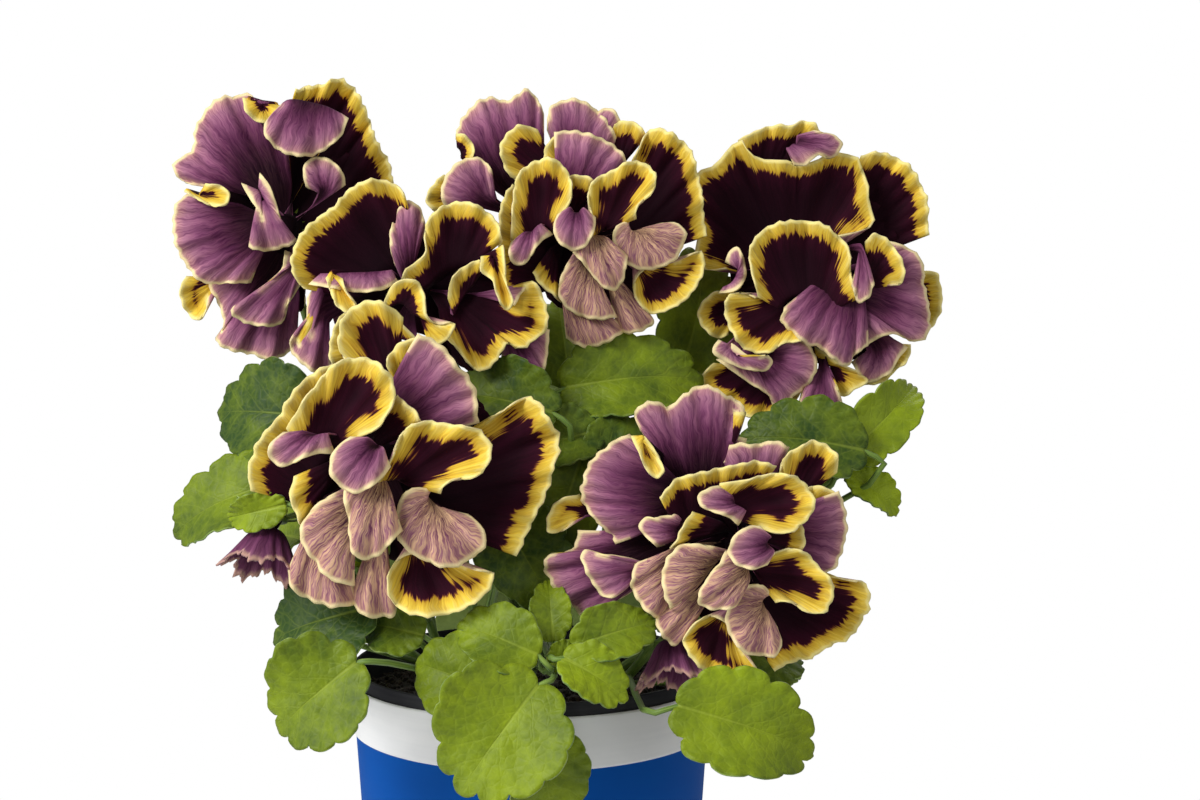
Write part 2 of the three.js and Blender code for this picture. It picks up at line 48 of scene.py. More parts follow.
METRES = 0.001
POT_HEIGHT = 98
FOOT_RADIUS = 50
BAND_RADIUS = 57
BAND_HEIGHT = 16.5
BAND_STEP = 0.9
LIP_HEIGHT = 4
LIP_INSET = 1.2
POT_WALL = 1.6
POT_FLOOR = 2.6
POT_EDGE = 0.8
POT_SIDES = 160
CORNER_EASE = 0.5
CORNER_STEPS = 4
LONGEST_EASE = 0.45  # as a share of the edge that runs into the corner
DRAIN_HOLES = 6
DRAIN_RADIUS = 3.5
DRAIN_RING = 29
DRAIN_SIDES = 32
DRILL_LENGTH = 4 * POT_FLOOR
BAND_TOP = POT_HEIGHT - LIP_HEIGHT
BAND_FOOT = BAND_TOP - BAND_HEIGHT
POT_TAPER = (BAND_RADIUS - BAND_STEP - FOOT_RADIUS) / BAND_TOP
SEAM = 0.1
LEVEL = 0.95  # the upward share of a normal, past which a face counts as level
POT_BARE, POT_BLUE, POT_PALE = range(3)
STREAKS_FLAT = 14
WEAR = 0.9
RUBBED_SMOOTHER = 0.07
RUBBED_DULLER = 0.1


def inside_radius(z):
    return FOOT_RADIUS - POT_WALL + POT_TAPER * z


def rounded(profile, radius):
    """A profile whose corners are eased by a small curve."""
    points = [np.array(point, float) for point in profile]
    eased = [points[0]]
    for before, corner, after in zip(points, points[1:], points[2:]):
        reach = [min(radius, LONGEST_EASE * np.linalg.norm(end - corner)) for end in (before, after)]
        start = corner + (before - corner) / np.linalg.norm(before - corner) * reach[0]
        end = corner + (after - corner) / np.linalg.norm(after - corner) * reach[1]
        for share in np.linspace(0, 1, CORNER_STEPS):
            eased.append((1 - share) ** 2 * start + 2 * share * (1 - share) * corner + share**2 * end)
    return eased + [points[-1]]


def turned(profile, sides):
    """Points and faces of a profile turned round the Z axis, closed at both poles."""

    def at(ring, side):
        return 1 + ring * sides + side % sides

    angles = 2 * math.pi * np.arange(sides) / sides
    rings = profile[1:-1]
    points = [(0, 0, profile[0][1])]
    for radius, height in rings:
        points += [(radius * math.cos(a), radius * math.sin(a), height) for a in angles]
    points.append((0, 0, profile[-1][1]))
    faces = []
    for side in range(sides):
        faces.append((0, at(0, side + 1), at(0, side)))
        for ring in range(len(rings) - 1):
            faces.append((at(ring, side), at(ring, side + 1), at(ring + 1, side + 1), at(ring + 1, side)))
        faces.append((len(points) - 1, at(len(rings) - 1, side), at(len(rings) - 1, side + 1)))
    return points, faces


def piece(name, points, faces):
    """A new object from points in millimetres."""
    mesh = bpy.data.meshes.new(name)
    mesh.from_pydata([tuple(point) for point in np.array(points, float) * METRES], [], faces)
    mesh.polygons.foreach_set("use_smooth", [True] * len(mesh.polygons))
    mesh.update()
    made = bpy.data.objects.new(name, mesh)
    bpy.context.scene.collection.objects.link(made)
    return made


def settle(made):
    """Turns an object's live modifiers into plain mesh."""
    bpy.context.view_layer.update()
    evaluated = made.evaluated_get(bpy.context.evaluated_depsgraph_get())
    mesh = bpy.data.meshes.new_from_object(evaluated)
    made.modifiers.clear()
    made.data = mesh


def colour(red, green, blue):
    """A display colour, 0 to 255, as the shader's linear one, by the sRGB rule."""
    shares = (red / 255, green / 255, blue / 255)
    return (*(c / 12.92 if c <= 0.04045 else ((c + 0.055) / 1.055) ** 2.4 for c in shares), 1)


def add(tree, kind, inputs=None, **settings):
    """Adds a shader or geometry node, sets it, and links or sets its inputs."""
    node = tree.nodes.new(kind)
    for name, value in settings.items():
        setattr(node, name, value)
    for name, value in (inputs or {}).items():
        if isinstance(value, bpy.types.NodeSocket):
            tree.links.new(value, node.inputs[name])
        else:
            node.inputs[name].default_value = value
    return node


def maths(tree, operation, *values):
    return add(tree, "ShaderNodeMath", dict(enumerate(values)), operation=operation).outputs[0]


def remap(tree, value, **limits):
    """Brings a value from one range, 0 to 1 unless given, to another."""
    inputs = {"Value": value, **{name.replace("_", " "): limit for name, limit in limits.items()}}
    return add(tree, "ShaderNodeMapRange", inputs).outputs[0]


def ramp(tree, factor, stops):
    node = add(tree, "ShaderNodeValToRGB", {"Fac": factor})
    elements = node.color_ramp.elements
    while len(elements) < len(stops):
        elements.new(0.5)
    for element, (position, shade) in zip(elements, stops):
        element.position = position
        element.color = shade
    return node.outputs["Color"]


def blend(tree, factor, first, second, how="MIX"):
    node = add(tree, "ShaderNodeMix", data_type="RGBA", blend_type=how)
    for socket, value in zip((node.inputs[0], node.inputs[6], node.inputs[7]), (factor, first, second)):
        if isinstance(value, bpy.types.NodeSocket):
            tree.links.new(value, socket)
        else:
            socket.default_value = value
    return node.outputs[2]


def object_place(tree):
    return add(tree, "ShaderNodeTexCoord").outputs["Object"]


def stretched(tree, place, scale):
    return add(tree, "ShaderNodeMapping", {"Vector": place, "Scale": scale}).outputs[0]


def noise(tree, place, scale, detail=3, roughness=0.5):
    inputs = {"Vector": place, "Scale": scale, "Detail": detail, "Roughness": roughness}
    return add(tree, "ShaderNodeTexNoise", inputs).outputs["Fac"]


def new_finish(name, roughness, **constants):
    """A material, its nodes and its shader, with the constants set on the shader's own sockets."""
    material = bpy.data.materials.new(name)
    material.use_nodes = True
    shader = material.node_tree.nodes["Principled BSDF"]
    shader.inputs["Roughness"].default_value = roughness
    for socket, value in constants.items():
        shader.inputs[socket.replace("_", " ")].default_value = value
    return material, material.node_tree, shader


def paint(tree, shader, skin):
    tree.links.new(skin, shader.inputs["Base Color"])


def raised(tree, shader, height, strength, depth):
    """Small relief from a height pattern, its depth in millimetres."""
    inputs = {"Height": height, "Strength": strength, "Distance": depth * METRES}
    tree.links.new(add(tree, "ShaderNodeBump", inputs).outputs["Normal"], shader.inputs["Normal"])


def plastic(name, tone, worn, roughness):
    """Moulded polypropylene: a faint orange peel, fine rubbed streaks and a little dust."""
    material, tree, shader = new_finish(name, roughness, IOR=1.49, Specular_IOR_Level=0.06)
    place = object_place(tree)
    rubbed = noise(tree, place, scale=60, detail=6, roughness=0.65)
    streaks = noise(tree, stretched(tree, place, (1, 1, STREAKS_FLAT)), scale=45, detail=4)
    wear = maths(tree, "MULTIPLY", maths(tree, "MULTIPLY", rubbed, streaks), WEAR)
    paint(tree, shader, blend(tree, wear, colour(*tone), colour(*worn)))
    gloss = remap(tree, rubbed, To_Min=roughness - RUBBED_SMOOTHER, To_Max=roughness + RUBBED_DULLER)
    tree.links.new(gloss, shader.inputs["Roughness"])
    raised(tree, shader, noise(tree, place, scale=900, detail=2), strength=0.25, depth=0.04)
    return material


def pot_profile():
    body_at_band = FOOT_RADIUS + POT_TAPER * BAND_FOOT
    lip = BAND_RADIUS - LIP_INSET
    return [
        (0, 0),
        (FOOT_RADIUS - POT_EDGE, 0),
        (FOOT_RADIUS, POT_EDGE),
        (body_at_band, BAND_FOOT),
        (BAND_RADIUS - POT_TAPER * BAND_HEIGHT, BAND_FOOT + POT_EDGE / 2),
        (BAND_RADIUS, BAND_TOP - POT_EDGE / 2),
        (BAND_RADIUS - POT_EDGE, BAND_TOP),
        (lip, BAND_TOP),
        (lip, POT_HEIGHT),
        (inside_radius(POT_HEIGHT), POT_HEIGHT),
        (inside_radius(POT_FLOOR), POT_FLOOR),
        (0, POT_FLOOR),
    ]


def drill_drain(pot):
    """Cuts the ring of drain holes through the pot's floor."""
    drills = bmesh.new()
    for i in range(DRAIN_HOLES):
        turn = 2 * math.pi * i / DRAIN_HOLES
        drill = bmesh.ops.create_cone(
            drills,
            cap_ends=True,
            segments=DRAIN_SIDES,
            radius1=DRAIN_RADIUS * METRES,
            radius2=DRAIN_RADIUS * METRES,
            depth=DRILL_LENGTH * METRES,
        )
        place = (DRAIN_RING * math.cos(turn) * METRES, DRAIN_RING * math.sin(turn) * METRES, 0)
        bmesh.ops.translate(drills, verts=drill["verts"], vec=place)
    cutter = piece("drain_cutter", [], [])
    drills.to_mesh(cutter.data)
    drills.free()
    cut = pot.modifiers.new("drain", "BOOLEAN")
    cut.object = cutter
    cut.solver = "EXACT"
    settle(pot)
    bpy.data.objects.remove(cutter)


def make_pot():
    pot = piece("pot_shell", *turned(rounded(pot_profile(), CORNER_EASE), POT_SIDES))
    drill_drain(pot)
    finishes = (
        plastic("pot_bare_black", (22, 22, 26), (92, 92, 96), 0.42),
        plastic("pot_blue", (0, 72, 154), (0, 82, 162), 0.55),
        plastic("pot_pale_band", (236, 236, 236), (214, 216, 218), 0.42),
    )
    for finish in finishes:
        pot.data.materials.append(finish)
    for polygon in pot.data.polygons:
        x, y, z = np.array(polygon.center) / METRES
        outside = math.hypot(x, y) > inside_radius(z) + POT_WALL / 2
        if outside and POT_EDGE / 2 < z < BAND_FOOT + SEAM:
            polygon.material_index = POT_BLUE
        elif outside and BAND_FOOT < z < BAND_TOP - SEAM:
            polygon.material_index = POT_PALE
        else:
            polygon.material_index = POT_BARE
        polygon.use_smooth = abs(polygon.normal.z) < LEVEL or z > BAND_FOOT
    return pot


pot = make_pot()
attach(pot, "root")
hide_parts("pot")

# The compost
# A bed of damp peat and bark that fills the pot to a centimetre below its rim. Its top is loose, so
# crumbs are scattered over it by Geometry Nodes.

SOIL_TOP = 88
SOIL_MOUND = 3
SOIL_GRAIN = 0.45
SOIL_GAP = 0.3
SOIL_EDGE = 1
SOIL_RINGS = 36
SOIL_SIDES = 128
SOIL_WAVES = (0.71, 0.63, 0.37)  # along X, along Y and slanting, in radians for a millimetre
SOIL_WAVE_SHIFT = 1.3
SOIL_FINE_WAVES = ((2.9, 0.7), (-1.1, 2.3))
SOIL_FINE_SHARE = 0.5
CRUMBS_PER_SQUARE_METRE = 150000.0
SMALLEST_CRUMB = 0.4
LARGEST_CRUMB = 1.9
CRUMB_SEED = 7
CRUMB_FACETS = 2
CRUMB_LUMPS = 1.3
FACES_UP = 0.5


def soil_height(x, y):
    fall = (x * x + y * y) / BAND_RADIUS**2
    along, across, slanting = SOIL_WAVES
    waves = math.sin(along * x + SOIL_WAVE_SHIFT) * math.cos(across * y) + math.sin(slanting * (x - y))
    first, second = SOIL_FINE_WAVES
    fine = math.sin(first[0] * x + first[1] * y) * math.sin(second[0] * x + second[1] * y)
    return SOIL_TOP + SOIL_MOUND * (1 - fall) + SOIL_GRAIN * (waves + SOIL_FINE_SHARE * fine)


def make_compost():
    base = POT_FLOOR + SOIL_GAP
    wide = inside_radius(SOIL_TOP) - SOIL_GAP
    above = SOIL_TOP + SOIL_EDGE
    profile = [(0, base), (inside_radius(base) - SOIL_GAP, base), (wide, SOIL_TOP - SOIL_EDGE)]
    profile += [(wide * ring / SOIL_RINGS, above) for ring in range(SOIL_RINGS, 0, -1)]
    profile.append((0, above))
    points, faces = turned(profile, SOIL_SIDES)
    shaped = [(x, y, soil_height(x, y) if z > SOIL_TOP else z) for x, y, z in points]
    return piece("compost_bed", shaped, faces)


def compost_finish():
    material, tree, shader = new_finish("damp_compost", 0.95, Sheen_Weight=0.1)
    place = object_place(tree)
    shades = [
        (0.3, colour(14, 9, 7)),
        (0.5, colour(40, 28, 20)),
        (0.66, colour(70, 52, 38)),
        (0.8, colour(112, 92, 70)),
    ]
    paint(tree, shader, ramp(tree, noise(tree, place, scale=420, detail=5, roughness=0.7), shades))
    grit = noise(tree, place, scale=900, detail=6, roughness=0.7)
    raised(tree, shader, grit, strength=0.8, depth=0.6)
    return material


def crumb_tree(material):
    """Geometry Nodes that scatter uneven crumbs over the upward faces of a bed."""
    tree = bpy.data.node_groups.new("crumb_scatter", "GeometryNodeTree")
    for name, socket_type in (
        ("Geometry", "NodeSocketGeometry"),
        ("Density", "NodeSocketFloat"),
        ("Smallest", "NodeSocketFloat"),
        ("Largest", "NodeSocketFloat"),
        ("Seed", "NodeSocketInt"),
    ):
        tree.interface.new_socket(name, in_out="INPUT", socket_type=socket_type)
    tree.interface.new_socket("Geometry", in_out="OUTPUT", socket_type="NodeSocketGeometry")
    given = add(tree, "NodeGroupInput").outputs
    normal = add(tree, "ShaderNodeSeparateXYZ", {"Vector": add(tree, "GeometryNodeInputNormal").outputs[0]})
    upward = maths(tree, "GREATER_THAN", normal.outputs["Z"], FACES_UP)
    scattered = add(
        tree,
        "GeometryNodeDistributePointsOnFaces",
        {"Mesh": given["Geometry"], "Selection": upward, "Density": given["Density"], "Seed": given["Seed"]},
    )
    crumb = add(tree, "GeometryNodeMeshIcoSphere", {"Radius": 1, "Subdivisions": CRUMB_FACETS})
    bumps = add(tree, "ShaderNodeTexNoise", {"Scale": CRUMB_LUMPS, "Detail": 1})
    centred = {0: bumps.outputs["Color"], 1: (0.5, 0.5, 0.5)}
    pushed = add(tree, "ShaderNodeVectorMath", centred, operation="SUBTRACT")
    uneven = add(tree, "GeometryNodeSetPosition", {"Geometry": crumb.outputs[0], "Offset": pushed.outputs[0]})
    full_turns = {"Max": (2 * math.pi,) * 3, "Seed": given["Seed"]}
    turns = add(tree, "FunctionNodeRandomValue", full_turns, data_type="FLOAT_VECTOR")
    sizes = add(tree, "FunctionNodeRandomValue", {"Seed": given["Seed"]}, data_type="FLOAT")
    tree.links.new(given["Smallest"], sizes.inputs[2])
    tree.links.new(given["Largest"], sizes.inputs[3])
    placed_crumbs = add(
        tree,
        "GeometryNodeInstanceOnPoints",
        {
            "Points": scattered.outputs["Points"],
            "Instance": uneven.outputs[0],
            "Rotation": turns.outputs[0],
            "Scale": sizes.outputs[1],
        },
    )
    real = add(tree, "GeometryNodeRealizeInstances", {0: placed_crumbs.outputs[0]})
    dressed = add(tree, "GeometryNodeSetMaterial", {"Geometry": real.outputs[0], "Material": material})
    add(tree, "NodeGroupOutput", {"Geometry": dressed.outputs[0]})
    return tree


def scatter_crumbs(bed, material):
    """A piece of its own: the crumbs that lie on a bed of compost."""
    crumbs = piece("compost_crumbs", [], [])
    crumbs.data = bed.data.copy()
    scatter = crumbs.modifiers.new("scatter", "NODES")
    scatter.node_group = crumb_tree(material)
    sizes = {
        "Density": CRUMBS_PER_SQUARE_METRE,
        "Smallest": SMALLEST_CRUMB * METRES,
        "Largest": LARGEST_CRUMB * METRES,
        "Seed": CRUMB_SEED,
    }
    for socket in scatter.node_group.interface.items_tree:
        if socket.in_out == "INPUT" and socket.name in sizes:
            scatter[socket.identifier] = sizes[socket.name]
    settle(crumbs)
    return crumbs


compost = make_compost()
compost_material = compost_finish()
compost.data.materials.append(compost_material)
crumbs = scatter_crumbs(compost, compost_material)
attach(compost, "root")
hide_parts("compost")
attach(crumbs, "root")

# The leafy stems
# Each stem is a soft green shoot that rises from the compost, with oval leaves on thin stalks. The
# blades are cupped and quilted between their veins, with rounded teeth, and paler beneath.

LEAF_UPPER, LEAF_UNDER, LEAF_EDGE, STALK = range(4)
UP = np.array((0.0, 0.0, 1.0))
SHORTEST_GAP = 1e-6
NO_LENGTH = 1e-9
ASKEW = (0.3, 0.9, 0.2)  # a direction that no stalk starts along
STALK_GRAIN = 6
STALK_STEP = 2
STALK_TONE = 0.3

STEM_RADIUS = 1.9
STEM_TAPER = (1.1, 0.7)
STEM_SIDES = 14
STEM_STEPS = 36
STEM_SUNK = 12
STEM_COLLAR = 4
STEM_BARE = 0.25  # the share of a stem that is below its leaves
STEM_LEAFY = 0.74

LEAF_THICKNESS = 0.6
LEAF_RINGS = 16
LEAF_SPOKES = 110
SMALL_LEAF = 27
LEAF_TEETH = 11
SMALL_LEAF_TEETH = 9
TOOTH_DEPTH = 0.075
TOOTH_ROUNDING = 0.6
TOOTH_NOTCH = 1.3
TOOTH_SIZE = 0.75
TOOTH_UNEVEN = 0.35
TOOTH_BEAT = 2.3
LEAF_TURN = 0.05
LEAF_TAPER = 0.16
LEAF_CUP = 0.13
LEAF_DROOP = 0.16
LEAF_BASE_DROOP = 0.4
LEAF_WAVE = 0.035
LEAF_WAVES = 3
LEAF_FRILL = 0.5
RIBS = 4.5
RIB_SLANT = 0.7
RIB_HEIGHT = 0.14
LUMPS = (2.3, 1.9)  # along and across the leaf
WIDE_LUMPS = (4.1, 3.3)
LUMP_HEIGHT = 0.16
MIDRIB_ROOM = 3
MIDRIB_DEPTH = 0.5
MIDRIB_WIDTH = 1.6
MIDRIB_FADE = 0.7

PETIOLE_RADIUS = 0.9
PETIOLE_TAPER = (1.15, 0.5)
PETIOLE_SIDES = 8
PETIOLE_STEPS = 14
PETIOLE_UNDER = 0.6
PETIOLE_REACH = 0.18
PETIOLE_DROP = 0.1
PETIOLE_ENDS = (1.0, 0.75, 0.45, 0.1)  # as shares of the way out from the leaf's middle to its base

PEDUNCLE_RADIUS = 1.25
PEDUNCLE_SIDES = 10
PEDUNCLE_STEPS = 40
CROOK = 8
CROOK_SAG = 3
CORE_BACK = -10
CUP_LENGTH = 6
CUP_FRONT = 4.6
CUP_BACK = 1.8
CUP_STEPS = 8
CUP_SIDES = 16
CUP_TONE = 0.45
CUP_OVERLAP = 1

SEPALS = 5
SEPAL_LENGTH = 10
SEPAL_WIDTH = 5
SEPAL_ROWS = 12
SEPAL_COLUMNS = 6
SEPAL_THICKNESS = 0.5
SEPAL_TONE = 0.4
SEPAL_START = 2
SEPAL_POINT = 0.6
SEPAL_NECK = 0.55
SEPAL_SWELL = 0.9
SEPAL_SEAT = 1.2
SEPAL_BACK = 3.5
SEPAL_CURL = 0.5

VEIN_SPACING = 0.095  # as a share of the leaf's length
VEIN_FROM = 0.078
VEIN_SLANT = -0.03
VEIN_WANDER = 0.2
VEIN_REACH = 15
VEIN_STRONGEST = 0.5
VEIN_FAINTEST = 0.12
VEIN_PALER = 0.3
MIDRIB_LINE = 0.4
MIDRIB_THINS = 0.8
NET_SCALE = 360
MOTTLE = 1.5
PITTING = 0.5
LEAF_RELIEF = 0.6
GRAIN_STRETCH = (1.2, 0.12, 1)


def facing(at, faces, roll=0, scale=1):
    """The place, right, up and forward directions of a piece that faces an azimuth and elevation."""
    azimuth, elevation, turn = (math.radians(angle) for angle in (*faces, roll))
    forward = np.array(
        (
            math.sin(azimuth) * math.cos(elevation),
            -math.cos(azimuth) * math.cos(elevation),
            math.sin(elevation),
        )
    )
    level = np.array((math.cos(azimuth), math.sin(azimuth), 0.0))
    upright = np.cross(forward, level)
    right = level * math.cos(turn) + upright * math.sin(turn)
    above = upright * math.cos(turn) - level * math.sin(turn)
    return np.array(at, float), right * scale, above * scale, forward * scale


def placed(where, local):
    """Points given as right, up and forward in a piece's own directions, in the part's frame."""
    at, right, above, forward = where
    local = np.asarray(local, float)
    return at + local[..., :1] * right + local[..., 1:2] * above + local[..., 2:] * forward


def on_curve(points, share):
    """The point at a share of the way along a smooth curve through the given points."""
    last = len(points) - 1
    i = min(int(share * last), last - 1)
    w = share * last - i
    start, end = points[i], points[i + 1]
    before = points[i - 1] if i > 0 else 2 * start - end
    after = points[i + 2] if i + 2 <= last else 2 * end - start
    pairs = ((before, start), (start, end), (end, after))
    gaps = [max(np.linalg.norm(b - a), SHORTEST_GAP) ** 0.5 for a, b in pairs]
    leave = (start - before) / gaps[0] - (end - before) / (gaps[0] + gaps[1]) + (end - start) / gaps[1]
    reach = (end - start) / gaps[1] - (after - start) / (gaps[1] + gaps[2]) + (after - end) / gaps[2]
    leave, reach = leave * gaps[1], reach * gaps[1]
    square, cube = w * w, w**3
    return (
        start
        + leave * w
        + (3 * (end - start) - 2 * leave - reach) * square
        + (2 * (start - end) + leave + reach) * cube
    )


def curve(points, count):
    points = [np.array(point, float) for point in points]
    return np.array([on_curve(points, share) for share in np.linspace(0, 1, count)])


class Skin:
    """Gathers the blades and tubes of one piece, each with a place on its surface and a tone, which on leaves
    is their painted light and shade.
    """

    def __init__(self):
        self.points, self.faces, self.slots, self.places, self.tones_and_painted_light = [], [], [], [], []

    def join(self, points, faces, places, tone, slots):
        first = len(self.points)
        self.points += [tuple(point) for point in points]
        self.places += [tuple(place) for place in places]
        self.tones_and_painted_light += [tone] * len(points)
        self.faces += [tuple(first + corner for corner in face) for face in faces]
        self.slots += slots

    def blade(self, points, faces, border, places, thickness, tone, front, back, edge, rim_from=0):
        """A thin sheet of tissue: a front skin, a back skin and a narrow edge round its border, which
        is as the front skin is before the point that the rim starts from."""
        points = np.asarray(points, float)
        normals = np.zeros_like(points)
        corners = np.array([face[:3] for face in faces])
        tilt = np.cross(
            points[corners[:, 1]] - points[corners[:, 0]],
            points[corners[:, 2]] - points[corners[:, 0]],
        )
        for face, slope in zip(faces, tilt):
            for corner in face:
                normals[corner] += slope
        normals /= np.linalg.norm(normals, axis=1, keepdims=True) + NO_LENGTH
        count = len(points)
        both = np.concatenate((points + normals * thickness / 2, points - normals * thickness / 2))
        all_faces = list(faces) + [tuple(count + corner for corner in reversed(face)) for face in faces]
        slots = [front] * len(faces) + [back] * len(faces)
        for a, b in zip(border, border[1:] + border[:1]):
            all_faces.append((b, a, a + count, b + count))
            slots.append(edge if min(a, b) >= rim_from else front)
        self.join(both, all_faces, np.concatenate((places, places)), tone, slots)

    def tube(self, line, radii, sides, tone, slot, start=0):
        """A round stalk along a line, closed at both ends."""
        tangents = np.gradient(line, axis=0)
        tangents /= np.linalg.norm(tangents, axis=1, keepdims=True)
        side = np.cross(tangents[0], ASKEW)
        points, places = [], []
        angles = 2 * math.pi * np.arange(sides) / sides
        for i, (centre, tangent) in enumerate(zip(line, tangents)):
            side = side - tangent * (side @ tangent)
            side /= np.linalg.norm(side)
            other = np.cross(tangent, side)
            for angle in angles:
                points.append(centre + radii[i] * (side * math.cos(angle) + other * math.sin(angle)))
                places.append((sides * radii[i] * angle / STALK_GRAIN, start + STALK_STEP * i))
        faces = [tuple(reversed(range(sides)))]
        for ring in range(len(line) - 1):
            for i in range(sides):
                a, b = ring * sides + i, ring * sides + (i + 1) % sides
                faces.append((a, b, b + sides, a + sides))
        faces.append(tuple(range((len(line) - 1) * sides, len(line) * sides)))
        self.join(points, faces, places, tone, [slot] * len(faces))

    def finish(self, name, materials):
        made = piece(name, self.points, self.faces)
        mesh = made.data
        for material in materials:
            mesh.materials.append(material)
        mesh.polygons.foreach_set("material_index", self.slots)
        corners = np.zeros(len(mesh.loops), int)
        mesh.loops.foreach_get("vertex_index", corners)
        mesh.uv_layers.new(name="place").data.foreach_set("uv", np.array(self.places, float)[corners].ravel())
        # The tone of each point: on leaves their painted light and shade, on petals how tanned a fold is.
        tone = mesh.attributes.new("tone", "FLOAT", "POINT")
        tone.data.foreach_set("value", np.array(self.tones_and_painted_light, float))
        mesh.update()
        return made


def wheel_faces(rings, spokes):
    """Faces and border of a round sheet: a middle point, then rings of points."""

    def at(ring, spoke):
        return 1 + (ring - 1) * spokes + spoke % spokes

    faces = []
    for spoke in range(spokes):
        faces.append((0, at(1, spoke), at(1, spoke + 1)))
        for ring in range(1, rings):
            faces.append((at(ring, spoke), at(ring + 1, spoke), at(ring + 1, spoke + 1), at(ring, spoke + 1)))
    return faces, [at(rings, spoke) for spoke in range(spokes)]


def wheel_places(rings, spokes):
    """Share of the radius and angle of each point of a round sheet."""
    rho = np.concatenate(([0.0], np.repeat(np.arange(1, rings + 1) / rings, spokes)))
    theta = np.concatenate(([0.0], np.tile(2 * math.pi * np.arange(spokes) / spokes, rings)))
    return rho, theta


def strip_faces(rows, columns):
    """Faces and border of a sheet of rows and columns of points."""

    def at(row, column):
        return row * columns + column

    faces = [
        (at(row, column), at(row + 1, column), at(row + 1, column + 1), at(row, column + 1))
        for row in range(rows - 1)
        for column in range(columns - 1)
    ]
    border = [at(row, 0) for row in range(rows)]
    border += [at(rows - 1, column) for column in range(1, columns)]
    border += [at(row, columns - 1) for row in range(rows - 2, -1, -1)]
    border += [at(0, column) for column in range(columns - 2, 0, -1)]
    return faces, border


def toothed(rho, theta, teeth, phase):
    """How far the rounded, uneven teeth push each point of a leaf in or out."""
    scallop = np.abs(np.cos(0.5 * teeth * theta))
    size = TOOTH_SIZE + TOOTH_UNEVEN * np.sin(TOOTH_BEAT * theta + phase)
    outer_third = np.maximum(rho * 3 - 2, 0)
    return 1 + TOOTH_DEPTH * size * outer_third * (2 * scallop**TOOTH_ROUNDING - TOOTH_NOTCH)


def quilted(rho, along, across, length, phase):
    """The swelling of a leaf between its ribs, which fades at the midrib and at the edge."""
    ribs = np.cos(2 * math.pi * (along - RIB_SLANT * np.abs(across)) / (length / RIBS))
    lumps = np.sin(along / LUMPS[0] + phase) * np.sin(across / LUMPS[1] + 2 * phase)
    lumps = lumps + np.sin(along / WIDE_LUMPS[0] - across / WIDE_LUMPS[1])
    beside = np.minimum(np.abs(across) / MIDRIB_ROOM, 1)
    return beside * (1 - rho**4) * (RIB_HEIGHT * ribs + LUMP_HEIGHT * lumps)


def leaf_points(leaf, rho, theta):
    """Points of a leaf blade in the part's frame, and their places along and across its midrib."""
    at, faces, clock, length, width, _ = leaf
    teeth = SMALL_LEAF_TEETH if length < SMALL_LEAF else LEAF_TEETH
    phase = clock * LEAF_TURN + length
    tooth = toothed(rho, theta, teeth, phase)
    x = rho * tooth * np.cos(theta)
    y = rho * tooth * np.sin(theta) * (1 - LEAF_TAPER * np.cos(theta))
    along, across = length / 2 * x, width / 2 * y
    wave = LEAF_WAVE * length * rho**2 * np.sin(LEAF_WAVES * theta + phase)
    quilt = quilted(rho, along, across, length, phase)
    keel = -MIDRIB_DEPTH * np.exp(-((across / MIDRIB_WIDTH) ** 2)) * (1 - MIDRIB_FADE * np.maximum(x, 0))
    frill = LEAF_FRILL * rho**6 * np.sin(2 * teeth * theta + phase)
    cup = LEAF_CUP * width * y**2
    droop = LEAF_DROOP * length * x**2 * np.where(x > 0, 1, LEAF_BASE_DROOP)
    height = cup - droop + wave + quilt + keel + frill
    where = facing(at, faces, clock)
    return placed(where, np.stack((along, across, height), -1)), np.stack((along / length, across), -1)


def add_leaf(skin, stem_point, leaf):
    """A leaf blade and its stalk, which runs on under the base of the midrib."""
    # A leaf's tone is painted light: it makes the whole blade lighter for a leaf in light and darker for one
    # in shade.
    at, faces, clock, length, width, tone = leaf
    rho, theta = wheel_places(LEAF_RINGS, LEAF_SPOKES)
    points, places = leaf_points(leaf, rho, theta)
    sheet, border = wheel_faces(LEAF_RINGS, LEAF_SPOKES)
    skin.blade(points, sheet, border, places, LEAF_THICKNESS, tone, LEAF_UPPER, LEAF_UNDER, LEAF_EDGE)
    _, right, _, forward = facing(at, faces, clock)
    spine = np.array(PETIOLE_ENDS)
    neck, *rest = leaf_points(leaf, spine, np.full(len(spine), math.pi))[0] - forward * PETIOLE_UNDER
    outer = neck - right * PETIOLE_REACH * length - UP * PETIOLE_DROP * length
    line = curve([stem_point, outer, neck, *rest], PETIOLE_STEPS)
    radii = PETIOLE_RADIUS * np.linspace(*PETIOLE_TAPER, PETIOLE_STEPS)
    skin.tube(line, radii, PETIOLE_SIDES, tone, STALK)


